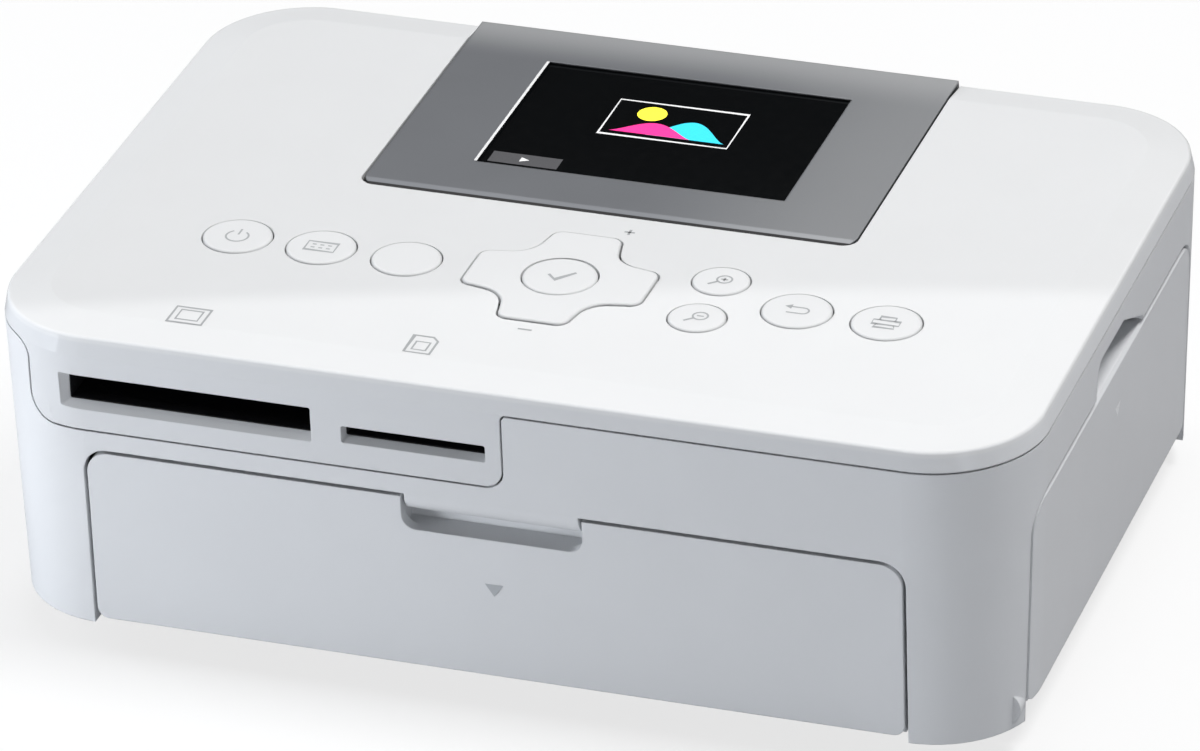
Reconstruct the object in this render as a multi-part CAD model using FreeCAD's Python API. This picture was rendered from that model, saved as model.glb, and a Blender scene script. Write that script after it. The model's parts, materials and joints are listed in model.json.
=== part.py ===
import FreeCAD, Part
import math
import os

# Compact dye-sublimation photo printer, closed, standing on its feet.
# Millimetres. X runs to the right, Y to the back and Z up; the origin is on the table, in the middle.

# Casing
width = 178.0
depth = 127.0
height = 60.5
corner_radius = 19.0
top_edge_radius = 0.6
top_crown_reach = 7.0
top_crown_drop = 1.0
skirt_height = 4.4
body_bottom = 5.1
skirt_lean = 0.9
body_draft = 1.4
wall = 2.0
top_plate = 2.0
floor_plate = 1.7
seam = 0.3
overrun = 1.0
edge_tolerance = 0.01

# Tongue of the lower case behind the parting line
tongue_thickness = 1.2
tongue_rise = 1.8
tongue_root = 3.0
tongue_gap = 0.25

# Base plate and feet
base_inset = 12.5
base_thickness = 3.1
foot_radius = 5.0
foot_inset_x = 13.0
foot_inset_y = 11.0
foot_recess = 1.0
foot_edge = 0.5

# Posts that join the two halves, and their screws
post_radius = 3.2
post_split_height = 30.0
post_front_left_side = 10.5
post_front_left_inset = 17.5
post_front_right_side = 12.0
post_front_right_inset = 10.5
post_rear_left_side = 19.0
post_rear_left_inset = 7.5
post_rear_right_side = 11.0
post_rear_right_inset = 11.5
screw_radius = 1.3
screw_head_radius = 2.4
screw_head_height = 1.5
screw_clearance = 0.05
screw_bite = 12.0
small_screw_radius = 0.9
small_screw_head_radius = 1.7
small_screw_head_height = 1.0

# Card bezel, a drop of the top cover at the front left
bezel_inset = 9.2
bezel_width = 82.5
bezel_drop = 13.7
bezel_left_radius = 4.5
bezel_right_radius = 3.0
bezel_left_flare = 3.0
bezel_right_flare = 1.2
bezel_reach = 25.0
bezel_pad_margin = 1.8
bezel_pad_depth = 4.1

# Card slots and their connectors
cf_inset = 7.3
cf_width = 42.6
cf_drop = 8.9
cf_height = 5.3
cf_flare = 1.7
cf_lip_drop = 1.1
cf_depth = 33.0
sd_inset = 55.4
sd_width = 24.4
sd_drop = 8.6
sd_height = 2.4
sd_flare = 0.3
sd_lip_drop = 0.7
sd_depth = 26.0
lip_depth = 1.6
slot_radius = 0.4
connector_wall = 1.2
connector_back = 3.5
connector_gap = 0.3

# Circuit boards
board_thickness = 1.2
key_board_thickness = 1.0
card_board_margin = 1.3
card_board_depth = 40.0
main_board_thickness = 1.6
main_board_gap = 1.7
main_board_front = -14.0
main_board_back_inset = 10.5
chip_height = 1.2
chip_side = 14.0
capacitor_radius = 3.5
capacitor_height = 6.5

# Front door over the paper cassette bay
door_side_inset = 19.2
door_top_drop = 17.9
door_bottom = 6.2
door_top_radius = 3.8
door_bottom_radius = 2.0
door_gap = 0.6
door_wall = 2.0
door_hinge_inset = 3.4
door_hinge_rise = 2.6
door_swing_clear = 3.4
ear_radius = 2.3
ear_width = 5.0
ear_gap = 0.4
hinge_pin_radius = 1.0
hinge_running_gap = 0.06
hinge_lug_width = 3.0
hinge_pin_seat = 2.6
seat_gap = 0.02
hinge_lug_margin = 0.6
notch_left = -15.0
notch_right = 16.0
notch_depth = 6.0
notch_radius = 2.5
notch_ledge_depth = 4.2
notch_ledge_thickness = 1.2
notch_ledge_margin = 1.4
grip_radius = 4.2
door_rib_height = 1.2
door_rib_width = 1.4
door_rib_pitch = 23.0
door_rib_count = 5

# Side door over the ribbon bay
side_door_front_inset = 13.8
side_door_back_inset = 17.5
side_door_drop = 10.9
side_door_bottom = 8.3
side_door_radius = 6.0
side_door_bottom_radius = 1.5
side_door_bevel = 0.6
side_hinge_inset = 4.2
side_hinge_height = 8.7
side_swing_clear = 3.2
side_lip = 1.3
side_lip_height = 2.0
knuckle_radius = 3.2
finger_front = -14.6
finger_back = 14.2
finger_drop = 3.9
finger_radius = 3.0
finger_slope_start = 1.5
finger_slope_end = 0.8
finger_depth = 5.0
finger_wall = 1.0

# Display panel that tips up from its front edge
pocket_left = -43.9
pocket_right = 43.4
pocket_front = -0.9
panel_side_gap = 0.35
panel_front_gap = 0.6
panel_corner_radius = 2.7
panel_edge_radius = 2.0
panel_rim_thickness = 4.1
panel_depth = 7.2
panel_wall = 1.5
panel_face = 1.9
panel_lift = 0.4
panel_back_inset = 2.8
panel_back_flange = 1.0
panel_back_margin = 6.5
tray_wall = 1.2
window_left = -27.1
window_right = 27.3
window_front = 12.0
window_back_margin = 12.7
window_thickness = 1.0
window_recess = 0.5
window_gap = 0.1
window_ledge = 1.3
panel_pin_radius = 0.9
panel_pin_length = 8.0
panel_ear_length = 3.2

# Keys on the top
key_row = -24.8
key_radius = 5.85
power_x = -56.4
menu_x = -41.6
edit_x = -26.6
back_x = 40.9
print_x = 56.1
zoom_x = 25.9
zoom_in_y = -18.3
zoom_out_y = -31.4
zoom_radius = 4.8
key_gap = 0.25
key_rise = 0.25
key_flange = 0.9
key_flange_reach = 0.9
key_edge_radius = 0.45
key_press_gap = 0.6
switch_side = 4.6
switch_height = 1.4
switch_plunger_radius = 1.1
switch_plunger_height = 0.6

# Four-way pad and the round key in its middle
pad_y = -24.3
pad_reach = 15.5
pad_lobe_half = 4.0
pad_corner_radius = 2.1
pad_neck_half = 6.62
pad_neck_start = 10.9
pad_waist = 8.1
pad_gap = 0.35
pad_rise = 0.35
pad_plate = 1.75
ok_radius = 6.25
ok_gap = 0.3
ok_rise = 0.45
carrier_inner = 7.5
carrier_outer = 9.2
carrier_height = 1.4
carrier_drop = 3.6
carrier_pin_radius = 0.5
carrier_pin_gap = 0.05
carrier_pin_reach = 2.2
pad_ear_inner = 9.8
pad_ear_thickness = 1.5
pad_ear_half = 2.0
pad_ear_floor_gap = 0.4
pad_post_radius = 0.9
pad_post_place = 14.0

# Key board under the cover
key_board_half_width = 66.0
key_board_front = -42.0
key_board_back = -7.0
key_boss_x = 63.0
key_boss_inner_x = 10.0
key_boss_front = -39.0
key_boss_back = -10.0
key_boss_radius = 2.4

# Paper bay behind the front door
bay_door_margin = 12.8
bay_floor = 9.4
bay_ceiling_drop = 25.1
bay_wall = 1.5
bay_flange_side_inset = 16.0
bay_flange_thickness = 1.4
bay_flange_drop = 14.1
bay_back = -35.0
bay_rail_height = 1.0
bay_rail_width = 2.0

# Ribbon bay behind the side door
ribbon_front = -21.0
ribbon_back_inset = 20.5
ribbon_floor_drop = 35.1
ribbon_ceiling_drop = 12.3
ribbon_wall = 1.2
ribbon_mouth_inset = 7.5

# Chassis of folded sheet steel
chassis_side_inset = 31.0
chassis_sheet = 1.0
chassis_front = -34.0
chassis_back_inset = 9.5
chassis_step = -16.0
chassis_tab_reach = 7.0
chassis_tab_depth = 6.0
chassis_bar_depth = 7.0
chassis_foot_reach = 6.0

# Paper path: rollers across the chassis
path_height = 22.0
paper_gap = 0.3
platen_y = 12.0
platen_radius = 5.5
platen_core_radius = 3.0
capstan_back_inset = 16.5
capstan_reach = 35.0
capstan_radius = 2.6
pinch_radius = 2.4
pickup_y = -28.5
pickup_height = 25.0
pickup_radius = 6.0
pickup_roll_width = 14.0
pickup_roll_place = 18.0
shaft_radius = 2.0
running_gap = 0.05
bush_radius = 3.4
bush_flange_radius = 4.4
bush_flange = 0.8
roller_side_gap = 6.0
shaft_end = 1.4

# Gears on the left of the chassis
gear_module = 0.75
gear_width = 3.2
gear_offset = 1.2
platen_teeth = 22
idler_teeth = 24
capstan_teeth = 26
pinion_teeth = 12
pickup_idler_teeth = 36
pickup_teeth = 20
takeup_teeth = 24
second_layer_offset = 4.4
feed_motor_angle = 102.0
ribbon_motor_angle = 170.0
tip_share = 0.95
root_share = 1.25
tooth_tip_share = 0.11
tooth_pitch_share = 0.225
tooth_root_share = 0.31
gear_pin_radius = 1.6

# Motors and their bracket
motor_sheet = 1.2
motor_gap = 0.3
feed_motor_radius = 8.5
ribbon_motor_radius = 8.0
motor_length = 15.5
motor_boss_radius = 3.0
motor_boss_height = 0.8
motor_shaft_radius = 1.0
bracket_margin = 2.5
bracket_post_radius = 2.0

# Ribbon spindles
takeup_back_inset = 31.0
spindle_drop = 22.6
supply_y = -9.0
spindle_radius = 4.0
spindle_length = 10.0
spindle_fin_height = 1.2
spindle_fin_width = 1.2
spindle_fin_count = 3

# Thermal head on its swinging arm
arm_pivot_inset = 22.5
arm_pivot_drop = 9.9
arm_pin_radius = 1.2
arm_sheet = 1.0
arm_front = 3.0
arm_side_gap = 7.0
arm_ear_radius = 2.0
arm_ear_length = 3.0
arm_plate_drop = 1.3
sink_depth = 12.0
sink_front = 3.4
sink_bottom = 27.5
sink_fin = 1.4
sink_fin_count = 5
sink_web = 4.0
sink_side_gap = 8.0
strip_height = 1.2
strip_depth = 4.5
strip_front = 7.0

# Fan against the left wall
fan_side = 25.0
fan_thickness = 7.0
fan_y = -22.0
fan_z = 24.0
fan_bore_radius = 11.2
fan_hub_radius = 4.5
fan_blade_radius = 10.6
fan_blade_count = 7
fan_blade_thickness = 0.9
fan_blade_pitch = 35.0
fan_strut = 1.2
fan_strut_width = 2.2
fan_pin_radius = 0.8
fan_wall_gap = 0.3

# Vents in the casing
vent_width = 1.4
vent_height = 18.0
vent_pitch = 2.9
vent_count = 8

# Paper slot, power inlet and data socket at the back
exit_side_gap = 5.0
exit_height = 9.0
exit_radius = 1.5
io_side_inset = 24.6
io_board_width = 12.2
io_board_inset = 14.5
io_board_drop = 23.1
jack_width = 9.0
jack_height = 11.0
jack_bottom = 9.0
jack_bore_radius = 3.0
jack_bore_depth = 9.0
jack_pin_radius = 0.8
usb_width = 11.6
usb_height = 11.0
usb_bottom = 24.0
usb_wall = 1.0
usb_tongue_width = 5.6
usb_tongue_height = 3.2
usb_depth = 9.0
usb_bevel = 1.6
socket_gap = 0.3

# Places that follow from the outer sizes
parting_height = height - skirt_height
bezel_left = bezel_inset - width / 2
bezel_right = bezel_left + bezel_width
cf_left = bezel_left + cf_inset
cf_bottom = parting_height - cf_drop
sd_left = bezel_left + sd_inset
sd_bottom = parting_height - sd_drop
door_half_width = width / 2 - door_side_inset
door_top = parting_height - door_top_drop
side_door_front = side_door_front_inset - depth / 2
side_door_back = depth / 2 - side_door_back_inset
side_door_top = parting_height - side_door_drop
finger_top = parting_height - finger_drop
post_front_left_x = width / 2 - post_front_left_side
post_front_left_y = depth / 2 - post_front_left_inset
post_front_right_x = width / 2 - post_front_right_side
post_front_right_y = depth / 2 - post_front_right_inset
post_rear_left_x = width / 2 - post_rear_left_side
post_rear_left_y = depth / 2 - post_rear_left_inset
post_rear_right_x = width / 2 - post_rear_right_side
post_rear_right_y = depth / 2 - post_rear_right_inset
panel_back_end = depth / 2 - panel_back_margin
window_back = depth / 2 - window_back_margin
chassis_half_width = width / 2 - chassis_side_inset
chassis_back = depth / 2 - chassis_back_inset
main_board_half_width = chassis_half_width + chassis_tab_reach
main_board_back = depth / 2 - main_board_back_inset
bay_half_width = door_half_width - bay_door_margin
bay_flange_half_width = width / 2 - bay_flange_side_inset
bay_ceiling = parting_height - bay_ceiling_drop
bay_flange_top = parting_height - bay_flange_drop
ribbon_back = depth / 2 - ribbon_back_inset
ribbon_ceiling = parting_height - ribbon_ceiling_drop
ribbon_floor = parting_height - ribbon_floor_drop
ribbon_mouth = width / 2 - ribbon_mouth_inset
capstan_y = min(platen_y + capstan_reach, depth / 2 - capstan_back_inset)
roller_half_length = chassis_half_width - roller_side_gap
takeup_y = depth / 2 - takeup_back_inset
spindle_height = parting_height - spindle_drop
arm_pivot_y = depth / 2 - arm_pivot_inset
arm_pivot_height = parting_height - arm_pivot_drop
arm_half_length = chassis_half_width - arm_side_gap
sink_half_length = chassis_half_width - sink_side_gap
exit_half_width = chassis_half_width - exit_side_gap
io_centre_x = width / 2 - io_side_inset
io_board_y = depth / 2 - io_board_inset
io_board_height = parting_height - io_board_drop


V = FreeCAD.Vector
PLACES = {
    "xy": lambda u, v, w: V(u, v, w),
    "xz": lambda u, v, w: V(u, w, v),
    "yz": lambda u, v, w: V(w, u, v),
}
ACROSS = {"xy": V(0, 0, 1), "xz": V(0, 1, 0), "yz": V(1, 0, 0)}


def box(x, y, z):
    """Block between a low and a high value along each axis."""
    return Part.makeBox(x[1] - x[0], y[1] - y[0], z[1] - z[0], V(x[0], y[0], z[0]))


def rod(plane, centre, radius, span):
    """Round bar that stands on a plane, from one place to another across it."""
    start = PLACES[plane](centre[0], centre[1], span[0])
    return Part.makeCylinder(radius, span[1] - span[0], start, ACROSS[plane])


def outline(plane, u, v, w, radii):
    """Rounded rectangle; its radii go round from the corner that is low in both directions."""
    low_u, high_u = u
    low_v, high_v = v
    centres = [
        (low_u + radii[0], low_v + radii[0], 180),
        (high_u - radii[1], low_v + radii[1], 270),
        (high_u - radii[2], high_v - radii[2], 0),
        (low_u + radii[3], high_v - radii[3], 90),
    ]
    corners = []
    for (centre_u, centre_v, first), radius in zip(centres, radii):
        points = []
        for turn in (0, 45, 90):
            angle = math.radians(first + turn)
            points.append(PLACES[plane](
                centre_u + radius * math.cos(angle), centre_v + radius * math.sin(angle), w))
        corners.append(points)
    edges = []
    for index, points in enumerate(corners):
        if radii[index] > 0:
            edges.append(Part.Arc(*points).toShape())
        edges.append(Part.LineSegment(points[2], corners[(index + 1) % 4][0]).toShape())
    return Part.Wire(edges)


def block(plane, u, v, span, radius=0):
    """Block with rounded corners in one plane, from one place to another across it."""
    radii = radius if isinstance(radius, tuple) else (radius,) * 4
    face = Part.Face(outline(plane, u, v, span[0], radii))
    return face.extrude(ACROSS[plane] * (span[1] - span[0]))


def polygon(plane, points, span):
    """Straight-sided prism from its corner points in one plane."""
    corners = [PLACES[plane](u, v, span[0]) for u, v in points]
    face = Part.Face(Part.makePolygon(corners + corners[:1]))
    return face.extrude(ACROSS[plane] * (span[1] - span[0]))


def join(shapes):
    """One solid out of touching solids."""
    first, *rest = shapes
    return first.fuse(rest).removeSplitter() if rest else first


def group(shapes):
    """Separate solids kept together in one node."""
    return Part.makeCompound(shapes)


def lean(z):
    """How far the outer face lies inside the widest line, which is the parting line."""
    if z >= parting_height:
        return skirt_lean * (z - parting_height) / (height - parting_height)
    return body_draft * (parting_height - z) / (parting_height - body_bottom)


def casing_outline(inset, z):
    """Outline of the casing's outer faces at a height, drawn in by an inset."""
    inward = lean(z) + inset
    half_x = width / 2 - inward
    half_y = depth / 2 - inward
    radius = corner_radius - inward
    return outline("xy", (-half_x, half_x), (-half_y, half_y), z, (radius,) * 4)


def casing_form(inset, low, high):
    """Solid inside the casing's outer faces, drawn in by an inset, between two heights."""
    return Part.makeLoft([casing_outline(inset, low), casing_outline(inset, high)], True, True)


def front_face(z):
    """Y of the front face at a height."""
    return lean(z) - depth / 2


def side_face(z):
    """X of the right face at a height."""
    return width / 2 - lean(z)


# Heights and places that follow from the sizes
front_out = -depth / 2 - overrun
back_out = depth / 2 + overrun
right_out = width / 2 + overrun
ceiling = height - top_plate
case_floor = body_bottom + floor_plate
bezel_bottom = parting_height - bezel_drop
key_board_top = ceiling - key_flange - key_press_gap - switch_plunger_height - switch_height
key_board_bottom = key_board_top - key_board_thickness
connector_bottom = cf_bottom - connector_wall
card_board_bottom = connector_bottom - board_thickness
connector_front = front_face(cf_bottom) + bezel_pad_depth
tray_floor = height - panel_depth - panel_lift
tray_bottom = tray_floor - tray_wall
main_board_bottom = tray_bottom - main_board_gap - main_board_thickness
door_hinge_y = front_face(door_bottom) + door_hinge_inset
door_hinge_z = door_bottom + door_hinge_rise
side_hinge_x = side_face(side_door_bottom) - side_hinge_inset
bay_front = door_hinge_y + door_swing_clear
panel_front = pocket_front + panel_front_gap
panel_left = pocket_left + panel_side_gap
panel_right = pocket_right - panel_side_gap
panel_hinge_y = panel_front + panel_edge_radius
panel_hinge_z = height - panel_edge_radius
panel_rim_bottom = height - panel_rim_thickness
gear_low = -chassis_half_width - gear_offset - gear_width
gear_high = -chassis_half_width - gear_offset
second_low = gear_low - second_layer_offset
second_high = second_low + gear_width
platen_z = path_height - platen_radius
capstan_z = path_height - capstan_radius
pinch_z = path_height + paper_gap + pinch_radius
motor_face = second_low - motor_gap - motor_sheet
posts = [
    (-post_front_left_x, -post_front_left_y),
    (post_front_right_x, -post_front_right_y),
    (-post_rear_left_x, post_rear_left_y),
    (post_rear_right_x, post_rear_right_y),
]


def ring(outer_inset, inner_inset, low, high):
    """Wall of the casing between two insets and two heights, under the parting line."""
    outer = casing_form(outer_inset, low, high)
    return outer.cut(casing_form(inner_inset, low - overrun, high + overrun))


def bezel_prism(grow):
    """Outline of the card bezel, grown by a gap, through the front wall; it flares at the parting line."""
    span = (front_out, front_out + bezel_reach)
    top = parting_height + overrun
    middle = block(
        "xz", (bezel_left - grow, bezel_right + grow), (bezel_bottom - grow, top), span,
        (bezel_left_radius + grow, bezel_right_radius + grow, 0, 0))
    flares = []
    for edge, flare, outward in ((bezel_left, bezel_left_flare, -1), (bezel_right, bezel_right_flare, 1)):
        centre = (edge + outward * flare, parting_height - flare)
        flares.append(box(sorted((edge, centre[0])), span, (centre[1], top)).cut(
            rod("xz", centre, flare - grow, (span[0] - overrun, span[1] + overrun))))
    return join([middle] + flares)


def card_slot(left, slot_width, bottom, slot_height, flare, drop):
    """Cut for a card slot: a straight slot behind a lip that slopes down to the outer face."""
    face = front_face(bottom)
    right = left + slot_width
    top = bottom + slot_height
    mouth_u = (left - flare, right)
    mouth_v = (bottom - drop, top)
    radii = (slot_radius,) * 4
    mouth = outline("xz", mouth_u, mouth_v, face, radii)
    throat = outline("xz", (left, right), (bottom, top), face + lip_depth, radii)
    lead = Part.makeLoft([mouth, throat], True, True)
    outside = block("xz", mouth_u, mouth_v, (front_out, face), slot_radius)
    inside = block(
        "xz", (left, right), (bottom, top), (face + lip_depth, connector_front + overrun), slot_radius)
    return join([lead, outside, inside])


def keys():
    """Name, centre and radius of each round key that presses straight down beside the pad."""
    return {
        "power_button": (power_x, key_row, key_radius),
        "menu_button": (menu_x, key_row, key_radius),
        "edit_button": (edit_x, key_row, key_radius),
        "zoom_in_button": (zoom_x, zoom_in_y, zoom_radius),
        "zoom_out_button": (zoom_x, zoom_out_y, zoom_radius),
        "back_button": (back_x, key_row, key_radius),
        "print_button": (print_x, key_row, key_radius),
    }


def pad_prism(grow, low, high):
    """Four-lobed outline of the pad, grown by a gap, between two heights."""
    half = pad_lobe_half
    side = half + pad_corner_radius
    corner = pad_reach - pad_corner_radius
    bend = pad_corner_radius * math.sin(math.pi / 4)
    edges = []
    for quarter in range(4):
        turn = math.radians(90 * quarter)

        def place(u, v):
            return V(u * math.cos(turn) - v * math.sin(turn),
                     pad_y + u * math.sin(turn) + v * math.cos(turn), low)

        tip = place(-half, pad_reach)
        tip_end = place(-side, corner)
        neck = place(-pad_neck_half, pad_neck_start)
        neck_end = place(-pad_neck_start, pad_neck_half)
        next_tip = place(-corner, side)
        edges.append(Part.LineSegment(place(half, pad_reach), tip).toShape())
        edges.append(Part.Arc(tip, place(-half - bend, corner + bend), tip_end).toShape())
        edges.append(Part.LineSegment(tip_end, neck).toShape())
        edges.append(Part.Arc(neck, place(-pad_waist, pad_waist), neck_end).toShape())
        edges.append(Part.LineSegment(neck_end, next_tip).toShape())
        edges.append(Part.Arc(
            next_tip, place(-corner - bend, half + bend), place(-pad_reach, half)).toShape())
    wire = Part.Wire(Part.__sortEdges__(edges))
    if grow > 0:
        wire = wire.makeOffset2D(grow)
    return Part.Face(wire).extrude(V(0, 0, high - low))


def rounded_top(shape, radius, z):
    """Solid with the edges that lie at a height rounded off."""
    edges = [e for e in shape.Edges if all(abs(v.Z - z) < edge_tolerance for v in e.Vertexes)]
    return shape.makeFillet(radius, edges)


def crowned_top():
    """Casing above the parting line, whose top falls gently to a rounded rim."""
    rim = height - top_crown_drop
    crown = Part.makeLoft([casing_outline(0, rim), casing_outline(top_crown_reach, height)], True, True)
    form = join([casing_form(0, parting_height, rim), crown])
    return rounded_top(form, top_edge_radius, rim)


def key_boss_places():
    """Bosses under the cover that carry the key board, clear of the card connectors."""
    return [
        (-key_boss_x, key_boss_back), (key_boss_x, key_boss_back),
        (key_boss_x, key_boss_front), (key_boss_inner_x, key_boss_front),
    ]


def pad_places():
    """Centres of the four switches under the pad."""
    return [
        (pad_post_place, pad_y), (-pad_post_place, pad_y),
        (0, pad_y + pad_post_place), (0, pad_y - pad_post_place),
    ]


def top_cover():
    form = crowned_top()
    shell = form.cut(casing_form(wall, parting_height - overrun, ceiling))
    drop = ring(0, wall, body_bottom, parting_height).common(bezel_prism(0))
    pad_front = front_face(cf_bottom) + wall / 2
    pad = box(
        (cf_left - cf_flare - bezel_pad_margin, min(sd_left + sd_width + bezel_pad_margin, bezel_right)),
        (pad_front, connector_front),
        (cf_bottom - cf_lip_drop - bezel_pad_margin, cf_bottom + cf_height + bezel_pad_margin))
    rear = depth / 2 - wall - seam
    tray = box(
        (pocket_left - tray_wall, pocket_right + tray_wall),
        (pocket_front - tray_wall, rear), (tray_bottom, ceiling + seam))
    ears = []
    bosses = []
    for wall_x, outward in ((pocket_left, -1), (pocket_right, 1)):
        span = sorted((wall_x, wall_x + outward * panel_ear_length))
        ears.append(rod("yz", (panel_hinge_y, panel_hinge_z), panel_edge_radius, span))
    for x, y in posts:
        bosses.append(rod("xy", (x, y), post_radius, (post_split_height, ceiling + seam)))
    for place in key_boss_places():
        bosses.append(rod("xy", place, key_boss_radius, (key_board_top, ceiling + seam)))
    cover = join([shell, drop, pad, tray] + ears + bosses)
    pocket = block(
        "xy", (pocket_left, pocket_right), (pocket_front, back_out), (tray_floor, height + overrun),
        (panel_corner_radius, panel_corner_radius, 0, 0))
    cuts = [
        pocket,
        card_slot(cf_left, cf_width, cf_bottom, cf_height, cf_flare, cf_lip_drop),
        card_slot(sd_left, sd_width, sd_bottom, sd_height, sd_flare, sd_lip_drop),
        pad_prism(pad_gap, ceiling - overrun, height + overrun),
    ]
    for x, y, radius in keys().values():
        cuts.append(rod("xy", (x, y), radius + key_gap, (ceiling - overrun, height + overrun)))
    for x, y in posts:
        cuts.append(rod(
            "xy", (x, y), screw_radius + screw_clearance,
            (post_split_height - overrun, post_split_height + screw_bite + overrun)))
    for place in key_boss_places():
        cuts.append(rod(
            "xy", place, small_screw_radius + screw_clearance, (key_board_top - overrun, ceiling)))
    for wall_x, outward in ((pocket_left, -1), (pocket_right, 1)):
        span = sorted((wall_x - outward * overrun, wall_x + outward * (panel_ear_length - tray_wall / 2)))
        cuts.append(rod("yz", (panel_hinge_y, panel_hinge_z), panel_pin_radius + hinge_running_gap, span))
    return cover.cut(cuts).removeSplitter()


def door_prism(grow):
    """Outline of the front door, grown by a gap and then open at the bottom, through the front wall."""
    bottom = door_bottom if grow == 0 else body_bottom - overrun
    low_radius = door_bottom_radius if grow == 0 else 0
    return block(
        "xz", (-door_half_width - grow, door_half_width + grow), (bottom, door_top + grow),
        (front_out, door_hinge_y + door_swing_clear),
        (low_radius, low_radius, door_top_radius + grow, door_top_radius + grow))


def side_door_prism(grow):
    """Outline of the side door, grown by a gap and then open at the bottom, through the right wall."""
    bottom = side_door_bottom if grow == 0 else body_bottom - overrun
    low_radius = side_door_bottom_radius if grow == 0 else 0
    return block(
        "yz", (side_door_front - grow, side_door_back + grow), (bottom, side_door_top + grow),
        (side_hinge_x - side_swing_clear, right_out),
        (low_radius, low_radius, side_door_radius + grow, side_door_radius + grow))


def front_ears():
    """X ranges of the front door's two hinge ears."""
    return [
        (-door_half_width, -door_half_width + ear_width), (door_half_width - ear_width, door_half_width)]


def side_ears():
    """Y ranges of the side door's two hinge ears."""
    return [
        (side_door_front + ear_gap, side_door_front + ear_width),
        (side_door_back - ear_width, side_door_back)]


def main_case():
    tub = casing_form(0, body_bottom, parting_height - seam)
    shell = tub.cut(casing_form(wall, case_floor, parting_height))
    tongue_inner = wall + tongue_gap + tongue_thickness
    root = ring(wall - seam, tongue_inner, parting_height - tongue_root, parting_height - seam)
    rise = ring(wall + tongue_gap, tongue_inner, parting_height - 2 * seam, parting_height + tongue_rise)
    pieces = [shell, root, rise]
    for x, y in posts:
        pieces.append(rod("xy", (x, y), post_radius, (body_bottom, post_split_height)))
    case = join(pieces)
    tongue_gap_x = (pocket_left - tray_wall - seam, pocket_right + tray_wall + seam)
    cuts = [
        bezel_prism(seam), door_prism(door_gap), side_door_prism(door_gap),
        box(tongue_gap_x, (depth / 2 - corner_radius, back_out), (parting_height - seam, height)),
        box(
            tongue_gap_x, (depth / 2 - corner_radius, depth / 2 - wall),
            (parting_height - tongue_root - seam, height)),
        block(
            "xz", (-exit_half_width, exit_half_width),
            (path_height - exit_height / 2, path_height + exit_height / 2),
            (depth / 2 - 2 * wall, back_out), exit_radius),
        box(
            (io_centre_x - jack_width / 2 - socket_gap, io_centre_x + jack_width / 2 + socket_gap),
            (depth / 2 - 2 * wall, back_out),
            (jack_bottom - socket_gap, jack_bottom + jack_height + socket_gap)),
        box(
            (io_centre_x - usb_width / 2 - socket_gap, io_centre_x + usb_width / 2 + socket_gap),
            (depth / 2 - 2 * wall, back_out),
            (usb_bottom - socket_gap, usb_bottom + usb_height + socket_gap)),
        finger_mouth(),
    ]
    first_vent = fan_y - (vent_count - 1) * vent_pitch / 2
    for index in range(vent_count):
        middle = first_vent + index * vent_pitch
        cuts.append(block(
            "yz", (middle - vent_width / 2, middle + vent_width / 2),
            (fan_z - vent_height / 2, fan_z + vent_height / 2),
            (-right_out, -side_face(body_bottom) + 2 * wall), vent_width / 3))
    case = case.cut(cuts)
    additions = [grip(), finger_cup(), fan_step()] + door_lugs() + knuckles()
    case = join([case] + additions)
    holes = []
    head_seat = body_bottom + screw_head_height + screw_clearance
    for x, y in posts:
        holes.append(rod(
            "xy", (x, y), screw_radius + screw_clearance, (body_bottom, post_split_height + overrun)))
        holes.append(rod(
            "xy", (x, y), screw_head_radius + screw_clearance, (body_bottom - overrun, head_seat)))
    for x, y in chassis_screw_places():
        holes.append(rod(
            "xy", (x, y), small_screw_radius + screw_clearance,
            (body_bottom + seam, case_floor + overrun)))
    for span in front_ears():
        pin = (span[0] - hinge_pin_seat - door_gap, span[1] + hinge_pin_seat + door_gap)
        holes.append(rod("yz", (door_hinge_y, door_hinge_z), hinge_pin_radius + seat_gap, pin))
    for span in side_ears():
        pin = (span[0] - hinge_pin_seat - door_gap - ear_gap, span[1] + hinge_pin_seat + door_gap)
        holes.append(rod("xz", (side_hinge_x, side_hinge_height), hinge_pin_radius + seat_gap, pin))
    return case.cut(holes).removeSplitter()


def grip():
    """Rounded lip of the case inside the front door's notch, where a finger pulls the door."""
    face = front_face(door_top)
    under = door_top + door_gap
    x = (notch_left + door_gap, notch_right - door_gap)
    roll = rod("yz", (face + grip_radius, under), grip_radius, x)
    roll = roll.common(box(x, (face - overrun, face + grip_radius), (under - grip_radius, under)))
    backing = box(x, (face + wall / 2, face + grip_radius), (under, under + wall))
    return join([roll, backing])


def finger_mouth():
    """Mouth of the finger recess above the side door, whose top slopes down towards the back."""
    span = (side_face(finger_top) - finger_depth, right_out)
    mouth = block(
        "yz", (finger_front, finger_back), (side_door_top, finger_top), span, (0, 0, 0, finger_radius))
    slope = [
        (finger_slope_start, finger_top), (finger_back, side_door_top + door_gap + finger_slope_end),
        (finger_back + overrun, finger_top + overrun)]
    return mouth.cut(polygon("yz", slope, span))


def finger_cup():
    """Walls round the finger recess above the side door."""
    back = side_face(finger_top) - finger_depth
    y = (finger_front - finger_wall, finger_back + finger_wall)
    z = (side_door_top + door_gap, finger_top + finger_wall)
    front_x = side_face(finger_top) - wall / 2
    cup = box((back - finger_wall, front_x), y, z)
    hollow = box((back, front_x + overrun), (finger_front, finger_back), (z[0] - overrun, finger_top))
    return cup.cut(hollow)


def fan_step():
    """Step on the case floor that the fan stands on."""
    x = fan_x()
    return box(x, (fan_y - fan_side / 3, fan_y + fan_side / 3), (case_floor - seam, fan_z - fan_side / 2))


def fan_x():
    """X range of the fan, just inside the left wall."""
    low = -side_face(fan_z - fan_side / 2) + wall + fan_wall_gap
    return (low, low + fan_thickness)


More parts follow.
